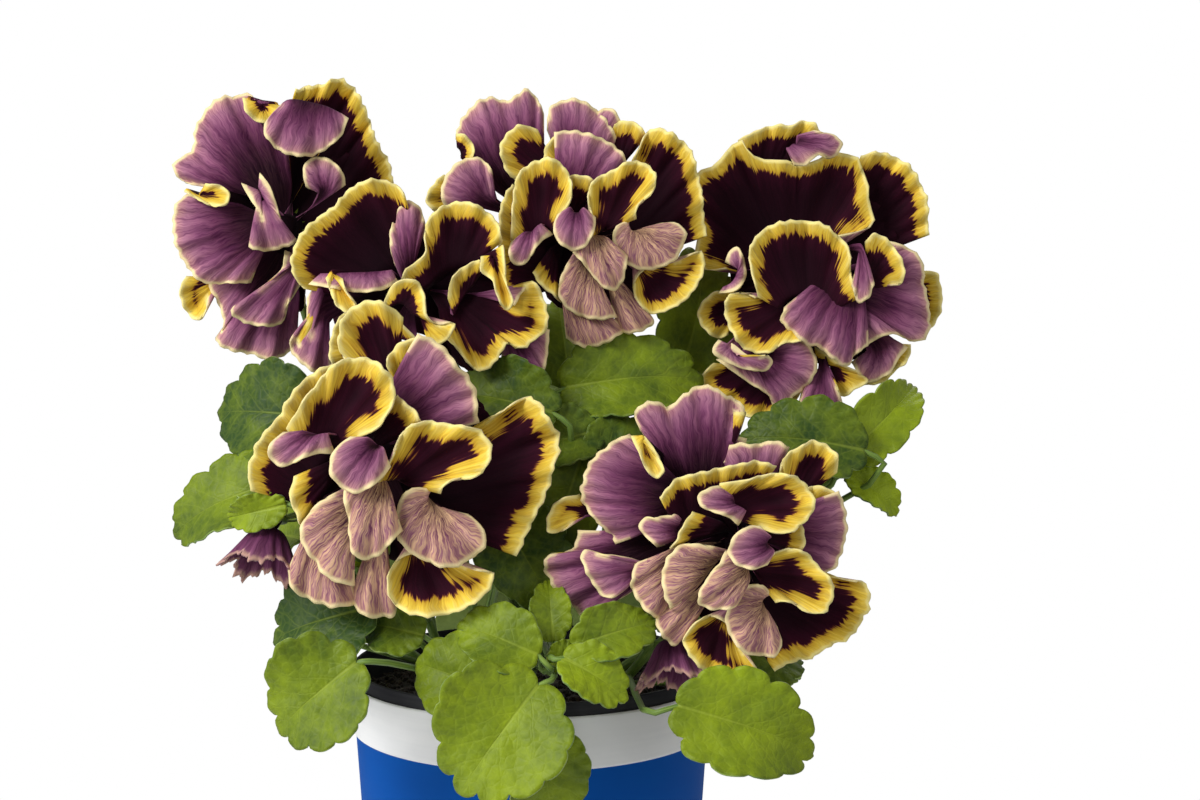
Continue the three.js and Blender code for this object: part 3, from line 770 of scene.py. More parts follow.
def add_calyx(skin, flower):
    """The green cup behind a flower and its pointed sepals."""
    scale = flower.get("scale", 1)
    where = facing(flower["at"], flower["faces"])
    front = CORE_BACK * scale
    line = placed(where, [(0, 0, front - CUP_LENGTH * share) for share in np.linspace(0, 1, CUP_STEPS)])
    radii = CUP_BACK + (CUP_FRONT - CUP_BACK) * np.sqrt(np.linspace(1, 0, CUP_STEPS))
    skin.tube(line, radii, CUP_SIDES, CUP_TONE, STALK)
    out, side = np.linspace(0, 1, SEPAL_ROWS), np.linspace(-1, 1, SEPAL_COLUMNS)
    u, v = np.meshgrid(out, side, indexing="ij")
    half = SEPAL_WIDTH / 2 * (1 - u) ** SEPAL_POINT * (SEPAL_NECK + SEPAL_SWELL * u)
    reach = SEPAL_START + SEPAL_LENGTH * u
    lift = front - SEPAL_SEAT - SEPAL_BACK * u**2 + SEPAL_CURL * v**2 * (1 - u)
    places = np.stack((u - 0.5, half * v), -1).reshape(-1, 2)
    sheet, border = strip_faces(SEPAL_ROWS, SEPAL_COLUMNS)
    for i in range(SEPALS):
        turn = 2 * math.pi * i / SEPALS
        right = reach * math.cos(turn) - half * v * math.sin(turn)
        above = reach * math.sin(turn) + half * v * math.cos(turn)
        points = placed(where, np.stack((right, above, lift), -1)).reshape(-1, 3)
        skins = (LEAF_UPPER, LEAF_UNDER, LEAF_EDGE)
        skin.blade(points, sheet, border, places, SEPAL_THICKNESS, SEPAL_TONE, *skins)


def add_stalk(skin, flower, start, by):
    """A flower's stalk, which bends over in a crook just behind the cup."""
    scale = flower.get("scale", 1)
    where = facing(flower["at"], flower["faces"])
    depth = CORE_BACK * scale - CUP_LENGTH
    crook, seat = placed(where, [(0, -CROOK_SAG, depth - CROOK * scale), (0, 0, depth + CUP_OVERLAP)])
    line = curve([start, *by, crook, seat], PEDUNCLE_STEPS)
    skin.tube(line, np.full(PEDUNCLE_STEPS, PEDUNCLE_RADIUS), PEDUNCLE_SIDES, STALK_TONE, STALK)


def grey(share):
    return (share, share, share, 1)


def skin_place(tree):
    """A point's place on its own sheet or stalk."""
    return add(tree, "ShaderNodeUVMap", uv_map="place").outputs["UV"]


def own_tone_and_painted_light(tree):
    return add(tree, "ShaderNodeAttribute", attribute_name="tone").outputs["Fac"]


def leaf_veins(tree, puffed):
    """A midrib that thins to the tip, side veins that fade outwards, and a fine net between them."""
    split = add(tree, "ShaderNodeSeparateXYZ", {"Vector": skin_place(tree)}).outputs
    along, across = split["X"], maths(tree, "ABSOLUTE", split["Y"])
    slant = maths(tree, "MULTIPLY_ADD", across, VEIN_SLANT, along)
    slant = maths(tree, "MULTIPLY_ADD", noise(tree, object_place(tree), scale=90), VEIN_WANDER, slant)
    beat = maths(tree, "PINGPONG", slant, VEIN_SPACING)
    side_vein = ramp(tree, beat, [(0, grey(0)), (VEIN_FROM, grey(0)), (VEIN_SPACING, grey(1))])
    fading = remap(tree, across, From_Max=VEIN_REACH, To_Min=VEIN_STRONGEST, To_Max=VEIN_FAINTEST)
    thinning = maths(tree, "MULTIPLY_ADD", along, MIDRIB_THINS, maths(tree, "ADD", across, MIDRIB_LINE))
    midrib = ramp(tree, thinning, [(0, grey(1)), (MIDRIB_LINE, grey(1)), (0.95, grey(0))])
    veins = blend(tree, 1, maths(tree, "MULTIPLY", side_vein, fading), midrib, "LIGHTEN")
    net = ramp(tree, puffed, [(0, grey(0.22)), (0.16, grey(0))])
    return blend(tree, 1, veins, net, "LIGHTEN")


def leaf_finish(name, deep, bright, vein, roughness, relief):
    """Leaf skin: paler veins, mottling between them, a tone per leaf that is painted light and shade, and a
    surface that puffs up between the veins.
    """
    material, tree, shader = new_finish(name, roughness, IOR=1.42, Specular_IOR_Level=0.3, Sheen_Weight=0.04)
    place = object_place(tree)
    cells = {"Vector": place, "Scale": NET_SCALE}
    puffed = add(tree, "ShaderNodeTexVoronoi", cells, feature="DISTANCE_TO_EDGE").outputs["Distance"]
    veins = leaf_veins(tree, puffed)
    mottle = noise(tree, place, scale=75, detail=5, roughness=0.68)
    # The leaf's tone, its painted light and shade, moves the whole blade between its deep and bright green.
    shade = maths(tree, "MULTIPLY_ADD", mottle, MOTTLE, maths(tree, "SUBTRACT", own_tone_and_painted_light(tree), MOTTLE / 2))
    green = ramp(tree, shade, [(0, colour(*deep)), (1, colour(*bright))])
    paint(tree, shader, blend(tree, maths(tree, "MULTIPLY", veins, VEIN_PALER), green, colour(*vein)))
    pitted = maths(tree, "MULTIPLY_ADD", noise(tree, place, scale=700), PITTING, puffed)
    raised(tree, shader, maths(tree, "SUBTRACT", pitted, veins), strength=LEAF_RELIEF * relief, depth=0.3)
    return material


def plain_tissue(name, deep, bright, roughness):
    """Stalk and edge tissue, lightly streaked along its length."""
    material, tree, shader = new_finish(name, roughness, IOR=1.42, Sheen_Weight=0.1)
    streaks = noise(tree, stretched(tree, skin_place(tree), GRAIN_STRETCH), scale=1.5)
    paint(tree, shader, ramp(tree, streaks, [(0.3, colour(*deep)), (0.7, colour(*bright))]))
    raised(tree, shader, streaks, strength=0.4, depth=0.2)
    return material


# Each leaf: [share of the stem's height, middle of the blade, facing, clock angle of its tip, length,
# width, painted light (higher for a leaf in light, lower for one in shade)]. Each flower: [name, share of the
# stem's height, points that its stalk passes].
STEMS = {
    "front_left": {
        "foot": (-18, -20),
        "rise": [(-24, -27, 100), (-30, -33, 118)],
        "leaves": [
            [0.45, (-61, -47, 121), (-20, 25), 200, 34, 32, -0.1],
            [0.55, (-60, -72, 104.5), (-18, 12), 222, 33, 33, 0.45],
            [0.8, (-40, -50, 119.5), (-10, 30), 170, 21, 17, 0.25],
            [1, (-52, -38, 143), (-30, 40), 160, 24, 20, 0.5],
            [1, (-79, -52, 154), (-15, 0), 195, 20, 11, 0.62],
        ],
        "flowers": [["lower_left", 0.9, [(-34, -24, 140)]]],
    },
    "front_centre": {
        "foot": (0, -26),
        "rise": [(1, -31, 106), (4, -40, 118)],
        "leaves": [
            [0.5, (-21, -62, 108), (-15, 20), 165, 26, 25, 0.55],
            [0.9, (-8, -66, 120), (-8, 30), 160, 26, 20, 0.42],
            [1, (7, -56, 126), (0, 25), 95, 19, 12, 0.6],
            [1, (12, -64, 114), (15, 30), 20, 12, 10, 0.55],
            [0.95, (20, -71, 110), (15, 30), -38, 22, 17, 0.7],
            [0.9, (26, -63, 121), (10, 30), 15, 26, 17, 0.5],
            [0.5, (-7, -80, 95), (-6, 18), 235, 39, 40, 0.55],
            [0.55, (6, -71, 80), (12, 0), -82, 30, 25, 0.45],
        ],
        "flowers": [],
    },
    "front_right": {
        "foot": (20, -18),
        "rise": [(28, -27, 98), (38, -36, 112)],
        "leaves": [
            [0.65, (63.5, -70, 95), (12, 22), -20, 44, 31, 0.62],
            [0.5, (72, -26, 108), (35, 30), 8, 30, 26, 0.2],
            [1, (74, -31, 127), (40, 45), 20, 27, 23, 0.4],
        ],
        "flowers": [["lower_right", 0.7, [(50, -26, 122)]], ["nodding_right", 0.9, [(36, -35, 124)]]],
    },
    "left": {
        "foot": (-27, -4),
        "rise": [(-40, -8, 105), (-58, -10, 136)],
        "leaves": [
            [1, (-81, -14, 178.5), (-25, 20), 180, 37, 31, 0.08],
            [0.85, (-92, -24, 153), (-28, 30), 208, 43, 25, 0.42],
            [0.6, (-80, 12, 136), (-70, 35), 190, 34, 30, 0.42],
            [0.35, (-70, -8, 108), (-60, 35), 200, 32, 28, 0.42],
        ],
        "flowers": [
            ["upper_left", 0.7, [(-60, 8, 170), (-74, 18, 215)]],
            ["nodding_left", 0.9, [(-62, -24, 158)]],
        ],
    },
    "middle": {
        "foot": (-6, -8),
        "rise": [(-4, -10, 120), (6, -12, 158)],
        "leaves": [
            [1, (31, -14, 189), (6, 30), 5, 44, 28, 0.42],
            [0.95, (-9, -26, 184), (-12, 30), 170, 36, 25, 0.15],
            [1, (10, 4, 199), (-5, 25), 100, 30, 24, 0.45],
            [0.85, (10, -28, 172), (0, 35), 200, 24, 20, 0.25],
            [0.8, (28, -26, 170), (10, 35), 20, 24, 20, 0.25],
            [0.7, (11, -37, 154), (4, 22), 250, 34, 24, 0.3],
            [0.5, (-1, -44, 140), (0, 30), -60, 34, 28, 0.22],
        ],
        "flowers": [["middle_left", 0.9, [(-20, 0, 185)]]],
    },
    "right": {
        "foot": (26, 2),
        "rise": [(42, -2, 106), (62, -6, 136)],
        "leaves": [
            [1, (108, -12, 176), (20, 25), 38, 40, 18, 0.75],
            [0.9, (83, -24, 171.5), (2, 30), 172, 38, 26, 0.12],
            [0.8, (105, -18, 155), (25, 30), -42, 20, 13, 1],
            [0.6, (84, 12, 128), (70, 35), 0, 36, 30, 0.45],
            [0.35, (74, -4, 104), (60, 30), -10, 32, 28, 0.4],
        ],
        "flowers": [["upper_right", 0.8, [(78, 10, 175)]]],
    },
    "back_left": {
        "foot": (-14, 20),
        "rise": [(-20, 34, 108), (-26, 46, 140)],
        "leaves": [
            [1, (-44, 52, 174), (200, 35), 70, 36, 30, 0.6],
            [0.9, (-60, 42, 150), (235, 30), 20, 36, 30, 0.5],
            [0.8, (-20, 66, 146), (185, 30), -80, 38, 32, 0.65],
            [0.5, (-46, 56, 112), (215, 25), -60, 36, 32, 0.5],
            [0.3, (-18, 66, 98), (190, 15), -80, 36, 34, 0.6],
        ],
        "flowers": [],
    },
    "back_right": {
        "foot": (12, 20),
        "rise": [(20, 32, 112), (26, 40, 158)],
        "leaves": [
            [1, (50, 40, 184), (150, 40), 120, 34, 30, 0.55],
            [0.95, (52, 14, 208), (15, 15), 75, 42, 27, 0.5],
            [0.85, (17, 56, 172), (170, 35), -85, 34, 28, 0.5],
            [0.8, (62, 46, 152), (140, 30), 200, 38, 32, 0.6],
            [0.45, (48, 60, 116), (150, 25), -110, 38, 34, 0.65],
            [0.3, (20, 68, 104), (175, 15), -90, 36, 32, 0.55],
        ],
        "flowers": [["top_centre", 1, [(22, 30, 200)]]],
    },
}
FLOWER_PLACES = {
    "upper_left": {"at": (-74.5, -6, 234.8), "faces": (4, 6)},
    "middle_left": {"at": (-33.8, -24, 217.9), "faces": (3, 8)},
    "top_centre": {"at": (13.7, -6, 232.3), "faces": (0, 8), "roll": 75},
    "upper_right": {"at": (88.8, 0, 222.2), "faces": (2, 6)},
    "lower_left": {"at": (-45.1, -54, 169.3), "faces": (-6, 4), "roll": 43, "scale": 1.25},
    "lower_right": {"at": (62.8, -54, 145.8), "faces": (5, 2)},
    "nodding_left": {"at": (-76, -46, 145), "faces": (-20, -62), "scale": 0.6},
    "nodding_right": {"at": (43, -47, 112), "faces": (8, -66), "scale": 0.6},
}
GREENS = (
    leaf_finish("leaf_upper", (46, 72, 22), (150, 170, 18), (166, 182, 66), roughness=0.5, relief=1),
    leaf_finish("leaf_under", (84, 108, 52), (150, 168, 84), (176, 190, 112), roughness=0.6, relief=0.5),
    # The leaf edge is paler than the blades: partly its own colour, partly a painted light rim round leaves
    # in shade.
    plain_tissue("leaf_edge_with_painted_rim_light", (84, 118, 46), (158, 178, 82), roughness=0.55),
    plain_tissue("stem_skin", (74, 108, 40), (134, 160, 66), roughness=0.5),
)


def make_stem(name, foot, rise, leaves, flowers):
    skin = Skin()
    x, y = foot
    roots = [(x, y, SOIL_TOP - STEM_SUNK), (x, y, SOIL_TOP + STEM_COLLAR)]
    points = [np.array(point, float) for point in (*roots, *rise)]
    radii = STEM_RADIUS * np.linspace(*STEM_TAPER, STEM_STEPS)
    skin.tube(curve(points, STEM_STEPS), radii, STEM_SIDES, STALK_TONE, STALK)
    for share, *leaf in leaves:
        add_leaf(skin, on_curve(points, STEM_BARE + STEM_LEAFY * share), leaf)
    for flower, share, by in flowers:
        add_calyx(skin, FLOWER_PLACES[flower])
        add_stalk(skin, FLOWER_PLACES[flower], on_curve(points, STEM_BARE + STEM_LEAFY * share), by)
    return skin.finish("stem_" + name, GREENS)


for name, stem in STEMS.items():
    made = make_stem(name, **stem)
    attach(made, "root")
    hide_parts("leafy_stem_" + name)

# The open flowers
# A ruffled pansy is a few broad petals whose rims grow so fast that they fold over and over. Their
# faces are velvety near-black with a feathered yellow margin, and their backs purple with a cream rim.

FACE = 1
BACK = -1
FACE_SKIN, BACK_SKIN, PETAL_RIM = range(3)
FORWARD = np.array((0.0, 0.0, 1.0))
PETAL_THICKNESS = 0.5
PETAL_ROWS = 30
PETAL_COLUMNS = 40
ACROSS = np.linspace(-1, 1, PETAL_COLUMNS)
RIM_POINTS = 4 * PETAL_COLUMNS
RIM_TUCK = 2.5
RIM_REACH = 0.8
FOLD_DEPTH = {FACE: 6, BACK: 4.5}
FOLD_STEEPEST = 0.25
FOLD_BOW = 0.11
ROOT_UNDER = 0.15
ROOT_SHARE = 0.65

CORE_FRONT = -4
CORE_RADIUS = 5
CORE_FRONT_RADIUS = 3
CORE_NOSE = 0.7
CORE_STEPS = 12
CORE_SIDES = 24
CLAW_START = -8
CLAW_RISE = 0.4
CLAW_HALF_WIDTH = 2.2
CLAW_SAG = 0.25
CLAW_SHORTEST = 0.12
CLAW_LONGEST = 0.35
CLAW_OPENS = 0.6
CLAW_OPENING = 0.9

RUFFLE = 1.1
RUFFLE_LEAST = 0.6
RUFFLE_GROWTH = 30
RUFFLE_LENGTH = 1.9
SMALL_RUFFLE = 0.6
SMALL_RUFFLE_LENGTH = 0.9
SMALL_RUFFLE_SHIFT = 1.7
FLUTE = 0.1
FLUTE_LENGTH = 0.45
FLARE = {FACE: 0.03, BACK: 0.1}
JAGS = 0.012
JAG_LENGTH = 0.62
JAG_SHIFT = 2.1
ORDER_TURN = 2.4
SIDE_TURN = 0.7
ORDER_SHIFT = 53.0  # moves the pattern of the skin on from fold to fold

PETAL_ZONE = 24
DARK_ROOT_AND_SHADE_BY = 20
SIDE_RIM = 1.5
SIDE_FADE = 34
SIDE_FROM = 0.72
RIM_WIDTH = 1.5
DARKENS = 3
VEIN_BEND = 5
VEIN_STRETCH = (1, 0.07, 1)
SPIKE_SCALE = 1.1
DRIFT_SCALE = 0.14
FINE_SCALE = 2.6
BROAD_SCALE = 0.45
TANNED_LINES = [(0.4, (0.15, 0.15, 0.15, 1)), (0.58, (1, 1, 1, 1))]
BROAD_STREAKS_AND_PLEAT_SHADE = [(0.36, (0.46, 0.36, 0.48, 1)), (0.6, (1, 1, 1, 1))]
FINE_STREAKS = [(0.34, (0.56, 0.42, 0.56, 1)), (0.54, (1, 1, 1, 1))]
LIP_RAGGED = 1.2
LIP_FROM = 1.1
LIP_TO = 1.9
VELVET = 0.35

BROAD_PETALS = 5
BROAD_SHARE = 0.66
BROAD_REACH = 0.3
BROAD_LEAST = 14
BROAD_ROOT = 5
BROAD_ROOT_RISE = 2
BROAD_FORWARD = -13
BROAD_BOW = 0.02
BROAD_TURN = 0.25
BROAD_SPREAD = 0.72
BROAD_POINTS = 9
BROAD_SIDE_FALL = 0.3
BROAD_SHADED_DEEPER = PETAL_ZONE / 3
FRONT_ORDER = 9
TANNED_BELOW = 2
TANNED_TONE = 0.7
LILAC_TONE = 0.03


def runs_clockwise(root, rim):
    """Whether a fold's rim runs clockwise round its root, as seen from in front."""
    (ax, ay), (bx, by), (cx, cy) = root, rim[0], rim[-1]
    mx, my = rim[len(rim) // 2]
    return (bx - ax) * (my - ay) - (by - ay) * (mx - ax) + (mx - ax) * (cy - ay) - (my - ay) * (cx - ax) < 0


def even_rim(rim, forward):
    """A fold's rim as points that are an equal way apart, and its length."""
    points = curve([(*point, forward) for point in rim], RIM_POINTS)
    steps = np.concatenate(([0], np.cumsum(np.linalg.norm(np.diff(points, axis=0), axis=1))))
    even = np.linspace(0, steps[-1], PETAL_COLUMNS)
    return np.stack([np.interp(even, steps, points[:, i]) for i in range(3)], -1), steps[-1]


def sideways_of(start, rim):
    """The direction across a fold, level with its sheet."""
    middle = (rim - start).mean(0)
    along = middle / np.linalg.norm(middle)
    out = FORWARD - along * along[2]
    out /= np.linalg.norm(out)
    return np.cross(along, out)


def in_from_rim(sheet, side, reach, out):
    """How far in from its coloured rim each point of a fold is. A back is also rimmed down its sides."""
    apart = np.linalg.norm(sheet[:, :, None] - sheet[-1][None, None], axis=-1)
    inward = apart.min(-1)
    if side == BACK:
        near_side = np.where(ACROSS[None, :, None] < 0, sheet[:, :1], sheet[:, -1:])
        from_side = np.linalg.norm(sheet - near_side, axis=-1)
        from_side = from_side + SIDE_RIM * (1 - out) + SIDE_FADE * np.maximum(0, SIDE_FROM - out)
        inward = np.minimum(inward, from_side)
        inward = np.minimum(inward + DARKENS * np.maximum(0, inward - RIM_WIDTH), reach * (1 - out))
    return inward


def fold_sheet(where, side, forward, root, rim, order, bowed):
    """Points of one fold in the part's frame, and their places: along the rim and in from it."""
    broad_root = isinstance(root, list)
    roots = root if broad_root else [root, root]
    root_middle = np.mean([point[:2] for point in roots], 0)
    if runs_clockwise(root_middle, rim):
        rim, roots = rim[::-1], roots[::-1]
    rim, around = even_rim(rim, forward)
    rim[:, 2] -= RIM_TUCK * ACROSS**6
    size = np.linalg.norm(rim[:, :2] - root_middle, axis=1).mean()
    deep = forward - min(FOLD_DEPTH[side], FOLD_STEEPEST * size)
    start = curve([(*point, deep)[:3] for point in roots], PETAL_COLUMNS)
    if not broad_root:
        spread = ROOT_SHARE * ACROSS[:, None] * (rim[-1] - rim[0]) / 2
        start = start + spread - ROOT_UNDER * (rim - start).mean(0)
    reach = np.linalg.norm(rim - start, axis=1)
    rim = rim + RIM_REACH * (rim - start) / (reach[:, None] + 1)
    length = reach.mean()

    # The claw brings each row from the core to the fold's root, and the rest opens out to its rim.
    core = np.array((0, 0, CLAW_START + CLAW_RISE * max(0, forward)))
    claw = np.linalg.norm(start.mean(0) - core)
    claw_share = min(CLAW_LONGEST, max(CLAW_SHORTEST, claw / (claw + length)))
    row = np.linspace(0, 1, PETAL_ROWS)[:, None]
    early = np.clip(row / claw_share, 0, 1)
    early = early * early * (3 - 2 * early)
    opens = CLAW_OPENS * claw_share
    out = np.clip((row - opens) / (1 - opens), 0, 1) ** CLAW_OPENING

    phase = ORDER_TURN * order + SIDE_TURN * side
    position = ACROSS[None] * around / 2
    waves = np.sin(position / RUFFLE_LENGTH + phase)
    waves = waves + SMALL_RUFFLE * np.sin(position / SMALL_RUFFLE_LENGTH + SMALL_RUFFLE_SHIFT * phase)
    ruffle = RUFFLE * (RUFFLE_LEAST + reach / RUFFLE_GROWTH) * waves * out**2.5
    flute = FLUTE * np.sin(position / FLUTE_LENGTH) * np.sin(math.pi * out) ** 2
    bow = -side * bowed * reach * np.sin(math.pi * out)
    flare = -FLARE[side] * reach * out**5
    sag = -CLAW_SAG * claw * np.sin(math.pi * early) * (1 - out)
    jagged = 1 + JAGS * np.sin(position / JAG_LENGTH + JAG_SHIFT * phase) * out**4

    sheet = core + (start[None] - core) * early[..., None] + (rim - start)[None] * (out * jagged)[..., None]
    sheet = sheet + sideways_of(start, rim) * (CLAW_HALF_WIDTH * ACROSS * (1 - out))[..., None]
    sheet = sheet + FORWARD * (bow + flare + ruffle + flute + sag)[..., None]
    inward = in_from_rim(sheet, side, reach, out)
    # Short folds darken towards the root as if their rim were farther off: partly the petal's own dark
    # centre, partly painted shade deep among the folds.
    inward = inward * (1 + max(0, DARK_ROOT_AND_SHADE_BY / length - 1) * (1 - out) ** 2)
    along = np.broadcast_to(position + ORDER_SHIFT * order, inward.shape)
    return placed(where, sheet), np.stack((along, inward), -1)


def add_fold(skin, where, fold, order, tone, bowed=FOLD_BOW, deeper=0):
    """One fold of petal. A deeper one is coloured as if its rim were farther off, which paints shade on it.
    """
    points, places = fold_sheet(where, *fold, order, bowed)
    places = places + (0, deeper)
    faces, border = strip_faces(PETAL_ROWS, PETAL_COLUMNS)
    front, back = (FACE_SKIN, BACK_SKIN) if fold[0] == FACE else (BACK_SKIN, FACE_SKIN)
    points, places = points.reshape(-1, 3), places.reshape(-1, 2)
    rim_from = len(points) - PETAL_COLUMNS
    skin.blade(points, faces, border, places, PETAL_THICKNESS, tone, front, back, PETAL_RIM, rim_from)


def add_core(skin, where, scale, slot):
    """The throat that the petals of one flower spring from."""
    line = placed(where, [(0, 0, depth * scale) for depth in np.linspace(CORE_BACK, CORE_FRONT, CORE_STEPS)])
    radii = scale * np.linspace(CORE_RADIUS, CORE_FRONT_RADIUS, CORE_STEPS)
    radii[-1] *= CORE_NOSE
    skin.tube(line, radii, CORE_SIDES, 0, slot, PETAL_ZONE)


def petal_zones(tree, place, inward, zones, spikes, drift):
    """Colours in zones from the rim inwards, feathered by spikes along the veins and drifting with them."""
    sharp = maths(tree, "MULTIPLY_ADD", noise(tree, place, SPIKE_SCALE, roughness=0.6), spikes, inward)
    ragged = maths(tree, "MULTIPLY_ADD", noise(tree, place, DRIFT_SCALE, detail=1), drift, sharp)
    mean_shift = (spikes + drift) / 2
    share = remap(tree, ragged, From_Min=mean_shift, From_Max=mean_shift + PETAL_ZONE)
    return ramp(tree, share, [(at / PETAL_ZONE, colour(*shade)) for at, shade in zones])


def petal_tissue(name, rim, zones, spikes, drift, streaked, tanned=None):
    """Petal skin: a pale rim, then zones of colour in from it, feathered along the veins that meet it, with
    fine vein streaks and broad dark streaks that are partly painted shade of the pleats; streaked sets how
    strong both are.
    """
    material, tree, shader = new_finish(
        name, 0.72, IOR=1.4, Specular_IOR_Level=0.1, Sheen_Weight=0.02, Sheen_Roughness=0.5
    )
    place = skin_place(tree)
    inward = add(tree, "ShaderNodeSeparateXYZ", {"Vector": place}).outputs["Y"]
    sideways = maths(tree, "MULTIPLY", noise(tree, place, scale=0.16, detail=2), VEIN_BEND)
    bend = add(tree, "ShaderNodeCombineXYZ", {"X": sideways}).outputs[0]
    bent = add(tree, "ShaderNodeVectorMath", {0: place, 1: bend}, operation="ADD").outputs[0]
    veined = stretched(tree, bent, VEIN_STRETCH)
    skin = petal_zones(tree, veined, inward, zones, spikes, drift)
    fine = noise(tree, veined, FINE_SCALE, roughness=0.6)
    if tanned:
        lines = maths(tree, "MULTIPLY", own_tone_and_painted_light(tree), ramp(tree, fine, TANNED_LINES))
        skin = blend(tree, lines, skin, colour(*tanned))
    # Broad dark streaks along the veins: partly the petal's own streaking, partly painted shade of its
    # pleats.
    broad = ramp(tree, noise(tree, veined, BROAD_SCALE), BROAD_STREAKS_AND_PLEAT_SHADE)
    skin = blend(tree, streaked, skin, broad, "MULTIPLY")
    skin = blend(tree, streaked, skin, ramp(tree, fine, FINE_STREAKS), "MULTIPLY")
    lip = maths(tree, "MULTIPLY_ADD", fine, LIP_RAGGED, inward)
    paint(tree, shader, blend(tree, remap(tree, lip, From_Min=LIP_FROM, From_Max=LIP_TO), colour(*rim), skin))
    velvet = noise(tree, object_place(tree), scale=1800, detail=2)
    raised(tree, shader, maths(tree, "MULTIPLY_ADD", velvet, VELVET, fine), strength=0.5, depth=0.22)
    return material


# The folds of each flower, from the back to the front: the side that a viewer in front sees, how far
# forward its rim is, its root (a point, or a line of points) under its neighbours, and points along its
# rim, as right and up of the flower's middle. Three of the flowers have the same front, turned.
ROSETTE = [
    (FACE, -2, (5, -15), [
        (24.5, -10.5), (30, -12), (35, -13), (37, -15), (36.5, -21), (34, -26.5), (28, -30.5), (21, -34),
        (14, -36.5), (9.5, -38.5),
    ]),
    (FACE, 0.5, (15, 12), [
        (11, 20), (12, 23.5), (16, 26.8), (20.2, 28.3), (24.5, 26.8), (27, 24), (27.5, 19),
    ]),
    (BACK, 1, (13, 3), [(27.5, 14), (29.4, 9), (29.6, 3), (28.8, -3), (26.5, -7.5), (23.5, -10)]),
    (BACK, 3, (-11, -15), [(-25, -20), (-24.5, -24.5), (-22, -28), (-19.5, -29.5), (-17, -27)]),
    (BACK, 4, (-20, -6), [(-31, -5.5), (-32.5, -11), (-30, -16.5), (-28, -19), (-24, -22)]),
    (FACE, 4, (-5, -22), [
        (-3.5, -24), (-8, -21.3), (-12.5, -21.7), (-16, -25), (-17.3, -28.5), (-15, -33), (-10.5, -37.3),
        (-5, -39.5), (0, -40), (4, -38), (2.5, -35.5), (-1, -31),
    ]),
    (FACE, 5, (-9, 6), [
        (9, 21.5), (4, 23), (-3, 22.3), (-9, 20.8), (-15, 19.8), (-20, 18), (-22.5, 15.5), (-24.5, 12.8),
    ]),
    (FACE, 6, (-8, 4), [(-14.5, 9), (-17.5, 6), (-19.3, 2), (-21, -1.5)]),
    (BACK, 8, (-9, -6), [
        (-9, -0.5), (-14, 0.3), (-19, -0.5), (-22, -3), (-23.5, -8), (-23.2, -14), (-21, -18.5),
    ]),
    (BACK, 8, (6, -17.5), [
        (8, -16), (4.5, -12), (1, -12), (-4, -16), (-5.5, -21), (-3.5, -27), (0, -31), (4, -31.8),
        (8, -32), (10, -28.5), (9, -24),
    ]),
    (FACE, 10, (1, -8), [
        (-2, -5.5), (5, -4), (9, -1.8), (13, -1.1), (17, -3), (20, -6.5), (23.3, -10), (24.6, -14),
        (23, -18), (19.5, -19.6), (16, -19), (13, -16.6), (10, -16), (8, -16.5),
    ]),
    (FACE, 11, (-4, 10), [
        (3.5, 5), (8, 3.6), (13.5, 5), (17, 8), (18.4, 12), (17, 16), (13.5, 19.3), (9, 20.6), (3, 19.8),
        (-3, 18.5), (-8, 17.5),
    ]),
    (BACK, 13, (-3, 12.5), [
        (-8, 17.3), (-12, 16.8), (-14, 14.5), (-13, 12), (-10, 10.5), (-5.5, 9), (-2.5, 6.5),
    ]),
    (BACK, 13, (0, -6), [
        (-6, -1.2), (-10, -7), (-13.5, -12), (-14.2, -15), (-11.5, -17.2), (-7, -17.4), (-3, -16.8),
    ]),
    (BACK, 16, (6, 1), [
        (3.5, 5.8), (0, 6), (-3.5, 4.5), (-5.5, 1), (-5, -2.7), (-2.5, -4.7), (1.5, -5.4), (5.5, -4.6),
    ]),
    (FACE, 7, (5, 2), [(15, 6.5), (16, 3), (16.1, -0.5), (15, -3)]),
    (FACE, -1, (16, 5), [(17, 13), (20, 14.8), (23.5, 14.8), (27.5, 12.5)]),
]
